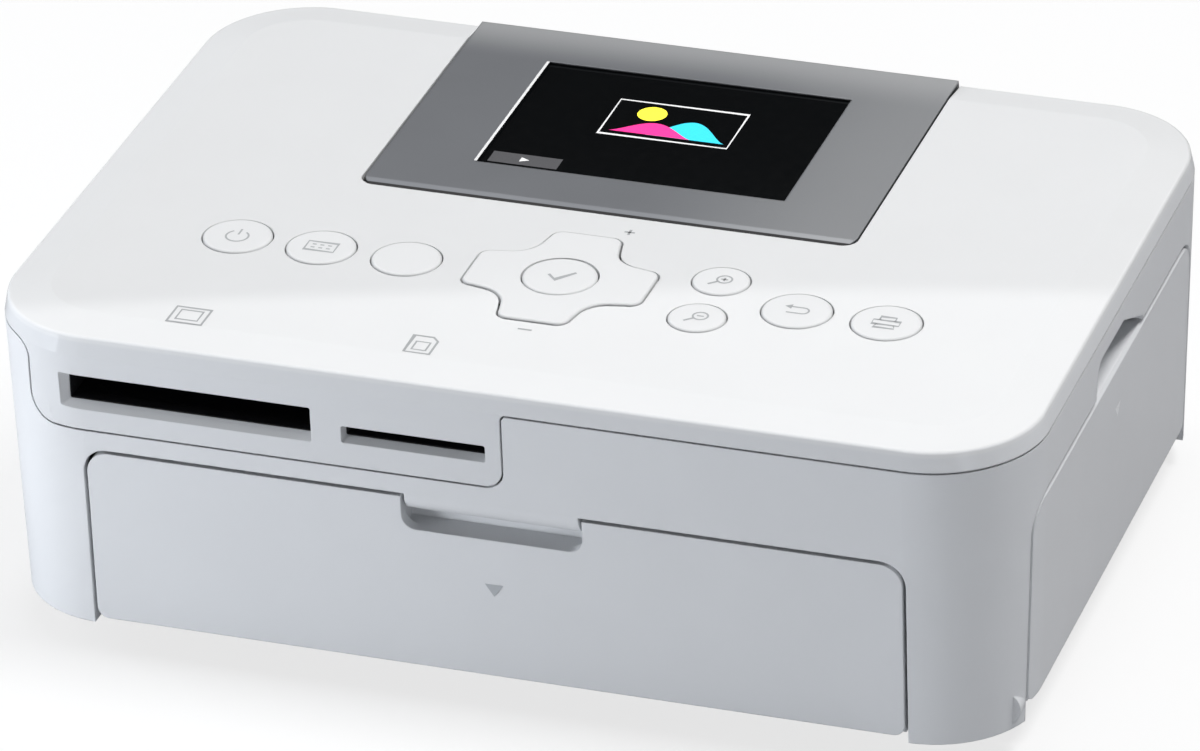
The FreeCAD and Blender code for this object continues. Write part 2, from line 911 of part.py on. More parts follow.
def door_lugs():
    """Lugs of the case outside the front door's ears."""
    lugs = []
    reach = door_half_width + door_gap
    inside = casing_form(wall / 2, body_bottom, door_bottom + door_top_radius + ear_radius)
    for x in ((-reach - hinge_lug_width, -reach), (reach, reach + hinge_lug_width)):
        lug = box(
            x, (door_hinge_y - door_hinge_inset, door_hinge_y + ear_radius + hinge_lug_margin),
            (body_bottom, door_hinge_z + ear_radius))
        lugs.append(lug.common(inside))
    return lugs


def knuckles():
    """Round lugs of the case beyond the side door's ears; they stand a little proud at the corner."""
    lugs = []
    spans = [
        (side_door_front - door_gap - hinge_lug_width, side_door_front - door_gap),
        (side_door_back + door_gap, side_door_back + door_gap + hinge_lug_width),
    ]
    for span in spans:
        round_lug = rod("xz", (side_hinge_x, side_hinge_height), knuckle_radius, span)
        foot = box((side_hinge_x - knuckle_radius, side_hinge_x), span, (body_bottom, side_hinge_height))
        lugs.append(join([round_lug, foot]).common(
            box((0, right_out), (-depth / 2, depth / 2), (body_bottom, height))))
    return lugs


def front_door():
    panel = ring(0, door_wall, body_bottom, parting_height).common(door_prism(0))
    face = front_face(door_top)
    inner = face + door_wall
    ledge_top = door_top - notch_depth
    ledge_back = inner + notch_ledge_depth
    ledge_x = (notch_left - notch_ledge_margin, notch_right + notch_ledge_margin)
    ledge = box(ledge_x, (inner - seam, ledge_back), (ledge_top - notch_ledge_thickness, door_top))
    hollow = box(
        (notch_left, notch_right), (inner - overrun, ledge_back + overrun),
        (ledge_top, door_top + overrun))
    notch = block(
        "xz", (notch_left, notch_right), (ledge_top, door_top + overrun), (front_out, inner + seam),
        (notch_radius, notch_radius, 0, 0))
    stop = box(
        (notch_left - seam, notch_right + seam), (ledge_back - notch_ledge_thickness, ledge_back),
        (ledge_top - seam, door_top - grip_radius))
    pieces = [panel, ledge.cut(hollow), stop]
    ribs_low = door_hinge_z + 2 * ear_radius
    for index in range(door_rib_count):
        x = (index - (door_rib_count - 1) / 2) * door_rib_pitch
        pieces.append(box(
            (x - door_rib_width / 2, x + door_rib_width / 2),
            (front_face(ribs_low) + door_wall - seam, front_face(ribs_low) + door_wall + door_rib_height),
            (ribs_low, ledge_top - 2 * notch_ledge_thickness)))
    for span in front_ears():
        pieces.append(rod("yz", (door_hinge_y, door_hinge_z), ear_radius, span))
        pieces.append(box(
            span, (front_face(door_bottom) + door_wall / 2, door_hinge_y),
            (door_hinge_z - ear_radius, door_hinge_z + ear_radius)))
    holes = [notch]
    for span in front_ears():
        holes.append(rod(
            "yz", (door_hinge_y, door_hinge_z), hinge_pin_radius + hinge_running_gap,
            (span[0] - overrun, span[1] + overrun)))
    return join(pieces).cut(holes).removeSplitter()


def side_door():
    prism = side_door_prism(0)
    edge = side_face(side_door_top)
    bevel = polygon(
        "xz", [
            (edge - side_door_bevel, side_door_top),
            (edge + overrun, side_door_top - side_door_bevel - overrun),
            (edge + overrun, side_door_top)],
        (side_door_front, side_door_back))
    panel = ring(0, door_wall, body_bottom, parting_height).common(prism).cut(bevel)
    lip_face = edge - door_wall
    lip = box(
        (lip_face - side_lip, lip_face + seam), (finger_front - finger_wall, finger_back + finger_wall),
        (side_door_top - side_lip_height, side_door_top))
    pieces = [panel, lip]
    for span in side_ears():
        pieces.append(rod("xz", (side_hinge_x, side_hinge_height), ear_radius, span))
        pieces.append(box(
            (side_hinge_x, side_face(side_door_bottom) - door_wall / 2), span,
            (side_door_bottom, side_hinge_height + ear_radius)))
    holes = []
    for span in side_ears():
        holes.append(rod(
            "xz", (side_hinge_x, side_hinge_height), hinge_pin_radius + hinge_running_gap,
            (span[0] - overrun, span[1] + overrun)))
    return join(pieces).cut(holes).removeSplitter()


def door_pins():
    pins = []
    left, right = front_ears()
    reach = door_gap + hinge_pin_seat
    for span in ((left[0] - reach, left[1]), (right[0], right[1] + reach)):
        pins.append(rod("yz", (door_hinge_y, door_hinge_z), hinge_pin_radius, span))
    front, back = side_ears()
    for span in ((front[0] - ear_gap - reach, front[1]), (back[0], back[1] + reach)):
        pins.append(rod("xz", (side_hinge_x, side_hinge_height), hinge_pin_radius, span))
    return group(pins)


def base_half():
    """Half sizes of the base plate."""
    return (width / 2 - base_inset, depth / 2 - base_inset)


def foot_places():
    half_x, half_y = base_half()
    return [
        (sx * (half_x - foot_inset_x), sy * (half_y - foot_inset_y)) for sx in (-1, 1) for sy in (-1, 1)]


def base_plate():
    half_x, half_y = base_half()
    low = body_bottom - base_thickness
    plate = block(
        "xy", (-half_x, half_x), (-half_y, half_y), (low, body_bottom), corner_radius - base_inset)
    return plate.cut([
        rod("xy", p, foot_radius, (low - overrun, low + foot_recess)) for p in foot_places()])


def feet():
    top = body_bottom - base_thickness + foot_recess
    return group([rounded_top(rod("xy", p, foot_radius, (0, top)), foot_edge, 0) for p in foot_places()])


def screw(x, y, seat, up, shank, head_radius, head_height, radius):
    """Screw with its head under a seat and its shank pointing up, or the other way round."""
    if up:
        return join([
            rod("xy", (x, y), head_radius, (seat - head_height, seat)),
            rod("xy", (x, y), radius, (seat, seat + shank))])
    return join([
        rod("xy", (x, y), head_radius, (seat, seat + head_height)),
        rod("xy", (x, y), radius, (seat - shank, seat))])


def case_screws():
    seat = body_bottom + screw_head_height + screw_clearance
    shank = post_split_height + screw_bite - seat
    return group([
        screw(x, y, seat, True, shank, screw_head_radius, screw_head_height, screw_radius)
        for x, y in posts])


def bay_liner():
    tunnel_x = bay_half_width + bay_wall
    flange = box(
        (-bay_flange_half_width, bay_flange_half_width), (bay_front, bay_front + bay_flange_thickness),
        (case_floor, bay_flange_top))
    tunnel = box(
        (-tunnel_x, tunnel_x), (bay_front, bay_back), (bay_floor - bay_wall, bay_ceiling + bay_wall))
    hollow = box(
        (-bay_half_width, bay_half_width), (bay_front - overrun, bay_back + overrun),
        (bay_floor, bay_ceiling))
    liner = join([flange, tunnel]).cut(hollow)
    rails = []
    for side in (-1, 1):
        x = sorted((side * bay_half_width, side * (bay_half_width - bay_rail_width)))
        rails.append(box(x, (bay_front, bay_back), (bay_floor, bay_floor + bay_rail_height)))
    return join([liner] + rails)


def ribbon_liner():
    x = (chassis_half_width, ribbon_mouth)
    outer = box(
        x, (ribbon_front - ribbon_wall, ribbon_back + ribbon_wall),
        (ribbon_floor - ribbon_wall, ribbon_ceiling + ribbon_wall))
    return outer.cut(box(
        (x[0] - overrun, x[1] + overrun), (ribbon_front, ribbon_back), (ribbon_floor, ribbon_ceiling)))


def window_prism(grow, low, high):
    return box(
        (window_left - grow, window_right + grow), (window_front - grow, window_back + grow), (low, high))


def panel_frame():
    corner = panel_corner_radius + panel_side_gap
    plate = block(
        "xy", (panel_left, panel_right), (panel_front, back_out), (panel_rim_bottom, height),
        (corner, corner, 0, 0))
    form = plate.common(casing_form(0, parting_height, height))
    nose = box(
        (panel_left - overrun, panel_right + overrun), (panel_front - overrun, panel_hinge_y),
        (panel_hinge_z, height + overrun))
    nose = nose.cut(rod(
        "yz", (panel_hinge_y, panel_hinge_z), panel_edge_radius,
        (panel_left - overrun, panel_right + overrun)))
    form = form.cut(nose)
    inner = (panel_hinge_y + panel_pin_radius + panel_wall, depth / 2 - 2 * wall)
    hollow = box(
        (panel_left + panel_wall, panel_right - panel_wall), inner,
        (panel_rim_bottom - overrun, height - panel_face))
    glass_seat = window_prism(window_gap, height - window_recess - window_thickness, height + overrun)
    sight = window_prism(-window_ledge, height - 2 * panel_face, height)
    cuts = [hollow, glass_seat, sight]
    for wall_x, inward in ((panel_left, 1), (panel_right, -1)):
        span = sorted(
            (wall_x - inward * overrun, wall_x + inward * (panel_pin_length - panel_ear_length)))
        cuts.append(rod("yz", (panel_hinge_y, panel_hinge_z), panel_pin_radius + seat_gap, span))
    return form.cut(cuts).removeSplitter()


def panel_back():
    top = panel_rim_bottom
    flange = block(
        "xy", (panel_left + seam, panel_right - seam), (panel_hinge_y, depth / 2 - 2 * wall),
        (top - panel_back_flange, top), panel_edge_radius)
    body = block(
        "xy", (panel_left + panel_back_inset, panel_right - panel_back_inset),
        (panel_hinge_y + panel_wall, panel_back_end), (height - panel_depth, top), panel_edge_radius)
    hollow = block(
        "xy", (panel_left + panel_back_inset + panel_wall, panel_right - panel_back_inset - panel_wall),
        (panel_hinge_y + 2 * panel_wall, panel_back_end - panel_wall),
        (height - panel_depth + panel_back_flange, top - panel_back_flange), panel_edge_radius)
    back_edge = box(
        (panel_left, panel_right), (depth / 2 - wall - tray_wall - panel_lift, back_out),
        (tray_floor, top - overrun))
    return join([flange, body]).cut([hollow, back_edge]).removeSplitter()


def lcd_module():
    return window_prism(-window_gap, panel_rim_bottom, height - panel_face)


def lcd_window():
    return window_prism(0, height - window_recess - window_thickness, height - window_recess)


def panel_pins():
    pins = []
    for wall_x, inward in ((panel_left, 1), (panel_right, -1)):
        outer = wall_x - inward * (panel_ear_length - tray_wall)
        span = sorted((outer, outer + inward * panel_pin_length * 4 / 5))
        pins.append(rod("yz", (panel_hinge_y, panel_hinge_z), panel_pin_radius, span))
    return group(pins)


def round_key(x, y, radius, flange_top, flange_radius, rise):
    """Round key: a cap through its hole, on a flange that stays under the hole's edge."""
    top = height + rise
    cap = rounded_top(rod("xy", (x, y), radius, (ceiling - key_flange, top)), key_edge_radius, top)
    flange = rod("xy", (x, y), flange_radius, (ceiling - key_flange, flange_top))
    return join([cap, flange])


def ok_button():
    flange_top = height + pad_rise - pad_plate - ok_gap
    return round_key(0, pad_y, ok_radius, flange_top, carrier_inner - ok_gap, ok_rise)


def carrier_z():
    """Height of the two crossed axes that the pad rocks on."""
    return height - carrier_drop


def dpad():
    top = height + pad_rise
    plate_bottom = top - pad_plate
    plate = rounded_top(pad_prism(0, plate_bottom, top), key_edge_radius, top)
    pieces = [plate]
    for side in (-1, 1):
        y = sorted((pad_y + side * pad_ear_inner, pad_y + side * (pad_ear_inner + pad_ear_thickness)))
        pieces.append(box(
            (-pad_ear_half, pad_ear_half), y, (key_board_top + pad_ear_floor_gap, plate_bottom + seam)))
    for x, y in pad_places():
        pieces.append(rod("xy", (x, y), pad_post_radius, (ceiling - key_flange, plate_bottom + seam)))
    pin_reach = carrier_outer + carrier_pin_reach + overrun
    cuts = [
        rod("xy", (0, pad_y), ok_radius + ok_gap, (plate_bottom - overrun, top + overrun)),
        rod(
            "xz", (0, carrier_z()), carrier_pin_radius + carrier_pin_gap,
            (pad_y - pin_reach, pad_y + pin_reach)),
    ]
    return join(pieces).cut(cuts).removeSplitter()


def dpad_carrier():
    half = carrier_height / 2
    z = (carrier_z() - half, carrier_z() + half)
    hoop = rod("xy", (0, pad_y), carrier_outer, z)
    reach = carrier_outer + carrier_pin_reach
    pins = [
        rod("yz", (pad_y, carrier_z()), carrier_pin_radius, (-reach, reach)),
        rod("xz", (0, carrier_z()), carrier_pin_radius, (pad_y - reach, pad_y + reach)),
    ]
    return join([hoop] + pins).cut(rod("xy", (0, pad_y), carrier_inner, (z[0] - overrun, z[1] + overrun)))


def key_board():
    board = box(
        (-key_board_half_width, key_board_half_width), (key_board_front, key_board_back),
        (key_board_bottom, key_board_top))
    ears = []
    for side in (-1, 1):
        x = sorted((side * pad_ear_inner, side * (pad_ear_inner + pad_ear_thickness)))
        ears.append(box(
            x, (pad_y - pad_ear_half, pad_y + pad_ear_half),
            (key_board_top, carrier_z() + carrier_height / 2 + seam)))
    reach = carrier_outer + carrier_pin_reach + overrun
    cuts = [rod("yz", (pad_y, carrier_z()), carrier_pin_radius + carrier_pin_gap, (-reach, reach))]
    for place in key_boss_places():
        cuts.append(rod(
            "xy", place, small_screw_radius + screw_clearance,
            (key_board_bottom - overrun, key_board_top + overrun)))
    return join([board] + ears).cut(cuts).removeSplitter()


def key_switches():
    places = [(x, y) for x, y, radius in keys().values()] + [(0, pad_y)] + pad_places()
    switches = []
    half = switch_side / 2
    top = key_board_top + switch_height
    for x, y in places:
        switches.append(join([
            box((x - half, x + half), (y - half, y + half), (key_board_top, top)),
            rod("xy", (x, y), switch_plunger_radius, (top, top + switch_plunger_height))]))
    return group(switches)


def card_board():
    left = cf_left - connector_wall - card_board_margin
    right = sd_left + sd_width + connector_wall + card_board_margin
    front = connector_front + connector_gap
    return box((left, right), (front, front + card_board_depth), (card_board_bottom, connector_bottom))


def card_connector(left, card_width, bottom, card_height, card_depth):
    """Connector shell that a card slides into, open at the front and closed by its pins at the back."""
    front = connector_front
    shell = box(
        (left - connector_wall, left + card_width + connector_wall),
        (front, front + card_depth + connector_back),
        (connector_bottom, bottom + card_height + connector_wall))
    return shell.cut(box(
        (left, left + card_width), (front - overrun, front + card_depth), (bottom, bottom + card_height)))


def main_board():
    top = main_board_bottom + main_board_thickness
    pieces = [box(
        (-main_board_half_width, main_board_half_width), (main_board_front, main_board_back),
        (main_board_bottom, top))]
    for x, y in ((-chip_side, main_board_back / 2), (chip_side, main_board_back / 3)):
        pieces.append(box(
            (x - chip_side / 2, x + chip_side / 2), (y - chip_side / 2, y + chip_side / 2),
            (top, top + chip_height)))
    for index in range(3):
        place = (main_board_half_width - 2 * capacitor_radius, (index + 1) * main_board_back / 4)
        pieces.append(rod("xy", place, capacitor_radius, (top, top + capacitor_height)))
    cuts = []
    for x, y in board_screw_places():
        cuts.append(rod(
            "xy", (x, y), small_screw_radius + screw_clearance,
            (main_board_bottom - overrun, top + overrun)))
    return join(pieces).cut(cuts)


def board_screw_places():
    x = chassis_half_width + chassis_tab_reach / 2
    return [(sx * x, y) for sx in (-1, 1) for y in tab_places()]


def tab_places():
    """Y of the middle of each tab that the main board is screwed to."""
    return [main_board_front + chassis_tab_depth, main_board_back - chassis_tab_depth]


def chassis_screw_places():
    x = bay_half_width - chassis_foot_reach
    return [
        (sx * x, y) for sx in (-1, 1)
        for y in (chassis_front + 2 * chassis_foot_reach, chassis_back - chassis_foot_reach / 2)]


def machine_screws():
    small = (small_screw_head_radius, small_screw_head_height, small_screw_radius)
    screws = []
    board_top = main_board_bottom + main_board_thickness
    for x, y in board_screw_places():
        screws.append(screw(x, y, board_top, False, main_board_thickness + chassis_sheet, *small))
    for x, y in chassis_screw_places():
        seat = case_floor + chassis_sheet
        screws.append(screw(x, y, seat, False, seat - body_bottom - 2 * seam, *small))
    for x, y in key_boss_places():
        screws.append(screw(x, y, key_board_bottom, True, ceiling - key_board_bottom - 2 * seam, *small))
    return group(screws)


def io_board():
    low_x = io_centre_x - io_board_width / 2
    return box(
        (low_x, low_x + io_board_width), (io_board_y, io_board_y + board_thickness),
        (case_floor, case_floor + io_board_height))


def socket_back(z):
    """Y of a socket's face, flush with the drafted back wall at a height."""
    return depth / 2 - lean(z) - socket_gap


def dc_jack():
    front = io_board_y + board_thickness
    back = socket_back(jack_bottom)
    middle = jack_bottom + jack_height / 2
    body = box(
        (io_centre_x - jack_width / 2, io_centre_x + jack_width / 2), (front, back),
        (jack_bottom, jack_bottom + jack_height))
    body = body.cut(rod(
        "xz", (io_centre_x, middle), jack_bore_radius, (back - jack_bore_depth, back + overrun)))
    return join([body, rod(
        "xz", (io_centre_x, middle), jack_pin_radius, (back - jack_bore_depth, back - overrun))])


def usb_port():
    front = io_board_y + board_thickness
    back = socket_back(usb_bottom)
    left = io_centre_x - usb_width / 2
    right = io_centre_x + usb_width / 2
    top = usb_bottom + usb_height
    body = box((left, right), (front, back), (usb_bottom, top))
    inner_left = left + usb_wall
    inner_right = right - usb_wall
    inner_low = usb_bottom + usb_wall
    inner_top = top - usb_wall
    cavity = polygon("xz", [
        (inner_left, inner_low), (inner_right, inner_low), (inner_right, inner_top - usb_bevel),
        (inner_right - usb_bevel, inner_top), (inner_left + usb_bevel, inner_top),
        (inner_left, inner_top - usb_bevel),
    ], (back - usb_depth, back + overrun))
    middle = (inner_low + inner_top) / 2
    tongue = box(
        (io_centre_x - usb_tongue_width / 2, io_centre_x + usb_tongue_width / 2),
        (back - usb_depth, back - overrun),
        (middle - usb_tongue_height / 2, middle + usb_tongue_height / 2))
    return join([body.cut(cavity), tongue])


def pitch_radius(teeth):
    return gear_module * teeth / 2


def mesh_point(first, second, first_distance, second_distance):
    """Upper one of the two points at given distances from two centres."""
    along = (second[0] - first[0], second[1] - first[1])
    between = math.hypot(*along)
    unit = (along[0] / between, along[1] / between)
    forward = (first_distance ** 2 - second_distance ** 2 + between ** 2) / (2 * between)
    aside = math.sqrt(first_distance ** 2 - forward ** 2)
    normal = (-unit[1], unit[0])
    if normal[1] < 0:
        normal = (unit[1], -unit[0])
    return (
        first[0] + unit[0] * forward + normal[0] * aside,
        first[1] + unit[1] * forward + normal[1] * aside)


def polar(centre, angle, distance):
    turn = math.radians(angle)
    return (centre[0] + distance * math.cos(turn), centre[1] + distance * math.sin(turn))


def mesh_phase(centre, phase, teeth, other, other_teeth):
    """Angle of a tooth of the other gear, so that the two gears are in mesh."""
    towards = math.degrees(math.atan2(other[1] - centre[1], other[0] - centre[0]))
    lead = (phase - towards) % (360 / teeth)
    return towards + 180 - lead * teeth / other_teeth + 180 / other_teeth


def gear(centre, teeth, phase, span):
    """Spur gear across the Y and Z plane, with straight-sided teeth."""
    pitch = 360 / teeth
    radius = pitch_radius(teeth)
    tip = radius + tip_share * gear_module
    root = radius - root_share * gear_module
    points = []
    for index in range(teeth):
        middle = phase + index * pitch
        for share, distance in (
                (-tooth_root_share, root), (-tooth_pitch_share, radius), (-tooth_tip_share, tip),
                (tooth_tip_share, tip), (tooth_pitch_share, radius), (tooth_root_share, root)):
            points.append(polar(centre, middle + share * pitch, distance))
    return polygon("yz", points, span)


layer_one = (gear_low, gear_high)
layer_two = (second_low, second_high)
platen_centre = (platen_y, platen_z)
capstan_centre = (capstan_y, capstan_z)
pickup_centre = (pickup_y, pickup_height)
takeup_centre = (takeup_y, spindle_height)
supply_centre = (supply_y, spindle_height)
idler_centre = mesh_point(
    platen_centre, capstan_centre, pitch_radius(platen_teeth + idler_teeth),
    pitch_radius(capstan_teeth + idler_teeth))
pickup_idler_centre = mesh_point(
    pickup_centre, platen_centre, pitch_radius(pickup_teeth + pickup_idler_teeth),
    pitch_radius(platen_teeth + pickup_idler_teeth))
feed_pinion_centre = polar(capstan_centre, feed_motor_angle, pitch_radius(capstan_teeth + pinion_teeth))
ribbon_pinion_centre = polar(takeup_centre, ribbon_motor_angle, pitch_radius(takeup_teeth + pinion_teeth))
platen_phase = 90.0
idler_phase = mesh_phase(platen_centre, platen_phase, platen_teeth, idler_centre, idler_teeth)
capstan_phase = mesh_phase(idler_centre, idler_phase, idler_teeth, capstan_centre, capstan_teeth)
feed_pinion_phase = mesh_phase(
    capstan_centre, capstan_phase, capstan_teeth, feed_pinion_centre, pinion_teeth)
pickup_idler_phase = mesh_phase(
    platen_centre, platen_phase, platen_teeth, pickup_idler_centre, pickup_idler_teeth)
pickup_phase = mesh_phase(
    pickup_idler_centre, pickup_idler_phase, pickup_idler_teeth, pickup_centre, pickup_teeth)
takeup_phase = 90.0
ribbon_pinion_phase = mesh_phase(
    takeup_centre, takeup_phase, takeup_teeth, ribbon_pinion_centre, pinion_teeth)
shaft_span = (gear_low - shaft_end, chassis_half_width + shaft_end)


def chassis_frame():
    z_low = case_floor
    profile = [
        (chassis_front, z_low), (chassis_back, z_low), (chassis_back, main_board_bottom),
        (chassis_step, main_board_bottom), (chassis_step, card_board_bottom),
        (chassis_front, card_board_bottom)]
    inner = chassis_half_width - chassis_sheet
    plates = [
        polygon("yz", profile, (-chassis_half_width, -inner)),
        polygon("yz", profile, (inner, chassis_half_width))]
    x = (-chassis_half_width, chassis_half_width)
    top = (main_board_bottom - chassis_sheet, main_board_bottom)
    floor = box(x, (chassis_front, chassis_back), (z_low, z_low + chassis_sheet))
    bars = [
        box(x, (chassis_back - chassis_bar_depth, chassis_back), top),
        box(x, (main_board_front, main_board_front + chassis_bar_depth), top),
        box(
            x, (chassis_front, chassis_front + chassis_bar_depth),
            (card_board_bottom - chassis_sheet, card_board_bottom)),
    ]
    tabs = []
    for side in (-1, 1):
        tab_x = sorted((side * inner, side * (chassis_half_width + chassis_tab_reach)))
        for y in tab_places():
            tabs.append(box(tab_x, (y - chassis_tab_depth / 2, y + chassis_tab_depth / 2), top))
    ears = []
    ear_low = pinch_z - pinch_radius * 3 / 4
    for side in (-1, 1):
        ear_x = sorted(
            (side * (roller_half_length + seam), side * (roller_half_length + seam + chassis_sheet)))
        ears.append(box(
            ear_x, (capstan_y - pinch_radius, chassis_back - chassis_sheet), (ear_low, top[1])))
    frame = join(plates + [floor] + bars + tabs + ears)
    opening = box(
        (inner - overrun, chassis_half_width + overrun), (ribbon_front, ribbon_back),
        (ribbon_floor, ribbon_ceiling))
    across = (-chassis_half_width - overrun, chassis_half_width + overrun)
    left = (-chassis_half_width - overrun, -inner + overrun)
    cuts = [opening]
    for centre in (platen_centre, capstan_centre, pickup_centre):
        cuts.append(rod("yz", centre, bush_radius + seat_gap, across))
    cuts.append(rod("yz", takeup_centre, bush_radius + seat_gap, left))
    cuts.append(rod("yz", (capstan_y, pinch_z), shaft_radius / 2 + running_gap, across))
    cuts.append(rod("yz", (arm_pivot_y, arm_pivot_height), arm_pin_radius + running_gap, across))
    for x, y in board_screw_places():
        cuts.append(rod(
            "xy", (x, y), small_screw_radius + screw_clearance, (top[0] - overrun, top[1] + overrun)))
    for x, y in chassis_screw_places():
        cuts.append(rod(
            "xy", (x, y), small_screw_radius + screw_clearance,
            (z_low - overrun, z_low + chassis_sheet + overrun)))
    return frame.cut(cuts).removeSplitter()


def bush(centre, side):
    """Flanged bush in a side plate, with its flange on the inner face."""
    outer = chassis_half_width
    inner = chassis_half_width - chassis_sheet
    body = rod("yz", centre, bush_radius, sorted((side * outer, side * inner)))
    flange = rod("yz", centre, bush_flange_radius, sorted((side * inner, side * (inner - bush_flange))))
    bore = rod("yz", centre, shaft_radius + running_gap, (-outer - overrun, outer + overrun))
    return join([body, flange]).cut(bore)


def bushes():
    places = [
        (centre, side) for centre in (platen_centre, capstan_centre, pickup_centre) for side in (-1, 1)]
    return group([bush(centre, side) for centre, side in places + [(takeup_centre, -1)]])


def gear_pins():
    """Fixed pins: two for the idlers outside the left plate, one for the supply spindle inside it."""
    outer = -chassis_half_width
    pins = []
    for centre in (idler_centre, pickup_idler_centre):
        collar = rod("yz", centre, gear_pin_radius + overrun, (outer - gear_offset + seam, outer))
        pins.append(join([collar, rod("yz", centre, gear_pin_radius, (gear_low - seam, outer))]))
    inner = outer + chassis_sheet
    pins.append(rod("yz", supply_centre, gear_pin_radius, (inner, inner + spindle_length)))
    return group(pins)


def platen_shaft():
    core = rod("yz", platen_centre, platen_core_radius, (-roller_half_length, roller_half_length))
    return join([core, rod("yz", platen_centre, shaft_radius, shaft_span)])


def platen_roller():
    span = (-roller_half_length, roller_half_length)
    sleeve = rod("yz", platen_centre, platen_radius, span)
    return sleeve.cut(rod(
        "yz", platen_centre, platen_core_radius, (span[0] - overrun, span[1] + overrun)))


def bored_gear(centre, teeth, phase, span, bore):
    return gear(centre, teeth, phase, span).cut(rod(
        "yz", centre, bore, (span[0] - overrun, span[1] + overrun)))


def platen_gear():
    return bored_gear(platen_centre, platen_teeth, platen_phase, layer_one, shaft_radius)


def capstan_shaft():
    core = rod("yz", capstan_centre, capstan_radius, (-roller_half_length, roller_half_length))
    return join([core, rod("yz", capstan_centre, shaft_radius, shaft_span)])


def capstan_gear():
    return bored_gear(capstan_centre, capstan_teeth, capstan_phase, layer_one, shaft_radius)


def feed_idler():
    return bored_gear(idler_centre, idler_teeth, idler_phase, layer_one, gear_pin_radius + running_gap)


def pickup_idler():
    return bored_gear(
        pickup_idler_centre, pickup_idler_teeth, pickup_idler_phase, layer_one,
        gear_pin_radius + running_gap)


def pickup_shaft():
    wheel = gear(pickup_centre, pickup_teeth, pickup_phase, layer_one)
    return join([rod("yz", pickup_centre, shaft_radius, shaft_span), wheel])


def pickup_rolls():
    rolls = []
    for middle in (-pickup_roll_place, pickup_roll_place):
        span = (middle - pickup_roll_width / 2, middle + pickup_roll_width / 2)
        roll = rod("yz", pickup_centre, pickup_radius, span)
        rolls.append(roll.cut(rod(
            "yz", pickup_centre, shaft_radius, (span[0] - overrun, span[1] + overrun))))
    return group(rolls)


def pinch_roller():
    centre = (capstan_y, pinch_z)
    reach = roller_half_length + seam + chassis_sheet + seam
    body = rod("yz", centre, pinch_radius, (-roller_half_length, roller_half_length))
    return join([body, rod("yz", centre, shaft_radius / 2, (-reach, reach))])


def motor(centre, radius):
    """Small motor behind the bracket, with a bore for its shaft."""
    body = rod("yz", centre, radius, (motor_face - motor_length, motor_face))
    boss = rod("yz", centre, motor_boss_radius, (motor_face, motor_face + motor_boss_height))
    bore = rod(
        "yz", centre, motor_shaft_radius + running_gap,
        (motor_face - motor_length / 2, motor_face + motor_boss_height + overrun))
    return join([body, boss]).cut(bore)


def pinion(centre, phase, span):
    """Motor pinion with the shaft that it is pressed on."""
    shaft = rod("yz", centre, motor_shaft_radius, (motor_face - motor_length / 2, span[1]))
    return join([gear(centre, pinion_teeth, phase, span), shaft])


def motor_bracket():
    x = (motor_face, motor_face + motor_sheet)
    low_y = ribbon_pinion_centre[0] - ribbon_motor_radius - 2 * bracket_post_radius
    plate = box(
        x, (low_y, chassis_back - bracket_margin),
        (feed_pinion_centre[1] - feed_motor_radius, main_board_bottom - bracket_margin / 2))
    leg_y = bracket_leg_y()
    leg = box(
        x, (leg_y - bracket_margin, leg_y + bracket_margin),
        (case_floor, feed_pinion_centre[1] - feed_motor_radius + overrun))
    post_span = (x[1], -chassis_half_width)
    post_top = main_board_bottom - bracket_margin / 2 - bracket_post_radius
    places = [
        (low_y + bracket_post_radius, post_top),
        (chassis_back - bracket_margin - bracket_post_radius, post_top),
        (leg_y, case_floor + bracket_post_radius + seam),
    ]
    pieces = [plate, leg] + [rod("yz", place, bracket_post_radius, post_span) for place in places]
    cuts = []
    for centre in (feed_pinion_centre, ribbon_pinion_centre):
        cuts.append(rod("yz", centre, motor_boss_radius + seat_gap, (x[0] - overrun, x[1] + overrun)))
    return join(pieces).cut(cuts)


def bracket_leg_y():
    """The bracket's leg stands between the feed idler and the capstan gear."""
    return (idler_centre[0] + capstan_centre[0]) / 2


def spindle_hub(centre, span):
    """Splined hub that turns a ribbon spool."""
    pieces = [rod("yz", centre, spindle_radius, span)]
    for index in range(spindle_fin_count):
        fin = box(
            span, (centre[0] - spindle_fin_width / 2, centre[0] + spindle_fin_width / 2),
            (centre[1], centre[1] + spindle_radius + spindle_fin_height))
        fin.rotate(V(0, *centre), V(1, 0, 0), 360 * index / spindle_fin_count)
        pieces.append(fin)
    return join(pieces)


def hub_span():
    inner = -chassis_half_width + chassis_sheet + bush_flange + seam
    return (inner, inner + spindle_length)


def takeup_spindle():
    shaft = rod("yz", takeup_centre, shaft_radius, (second_low, hub_span()[0] + seam))
    return join([
        spindle_hub(takeup_centre, hub_span()), shaft,
        gear(takeup_centre, takeup_teeth, takeup_phase, layer_two)])


def supply_spindle():
    inner = -chassis_half_width + chassis_sheet
    span = (inner + seam, inner + seam + spindle_length)
    hub = spindle_hub(supply_centre, span)
    return hub.cut(rod(
        "yz", supply_centre, gear_pin_radius + running_gap,
        (span[0] - overrun, inner + spindle_length + running_gap)))


def head_arm():
    top = arm_pivot_height - arm_plate_drop + arm_sheet
    plate = box(
        (-arm_half_length, arm_half_length), (arm_front, arm_pivot_y), (top - arm_sheet, top))
    pin = rod(
        "yz", (arm_pivot_y, arm_pivot_height), arm_pin_radius, (-chassis_half_width, chassis_half_width))
    ears = []
    for x in (-arm_half_length, arm_half_length - arm_ear_length):
        ears.append(rod("yz", (arm_pivot_y, arm_pivot_height), arm_ear_radius, (x, x + arm_ear_length)))
    return join([plate, pin] + ears)


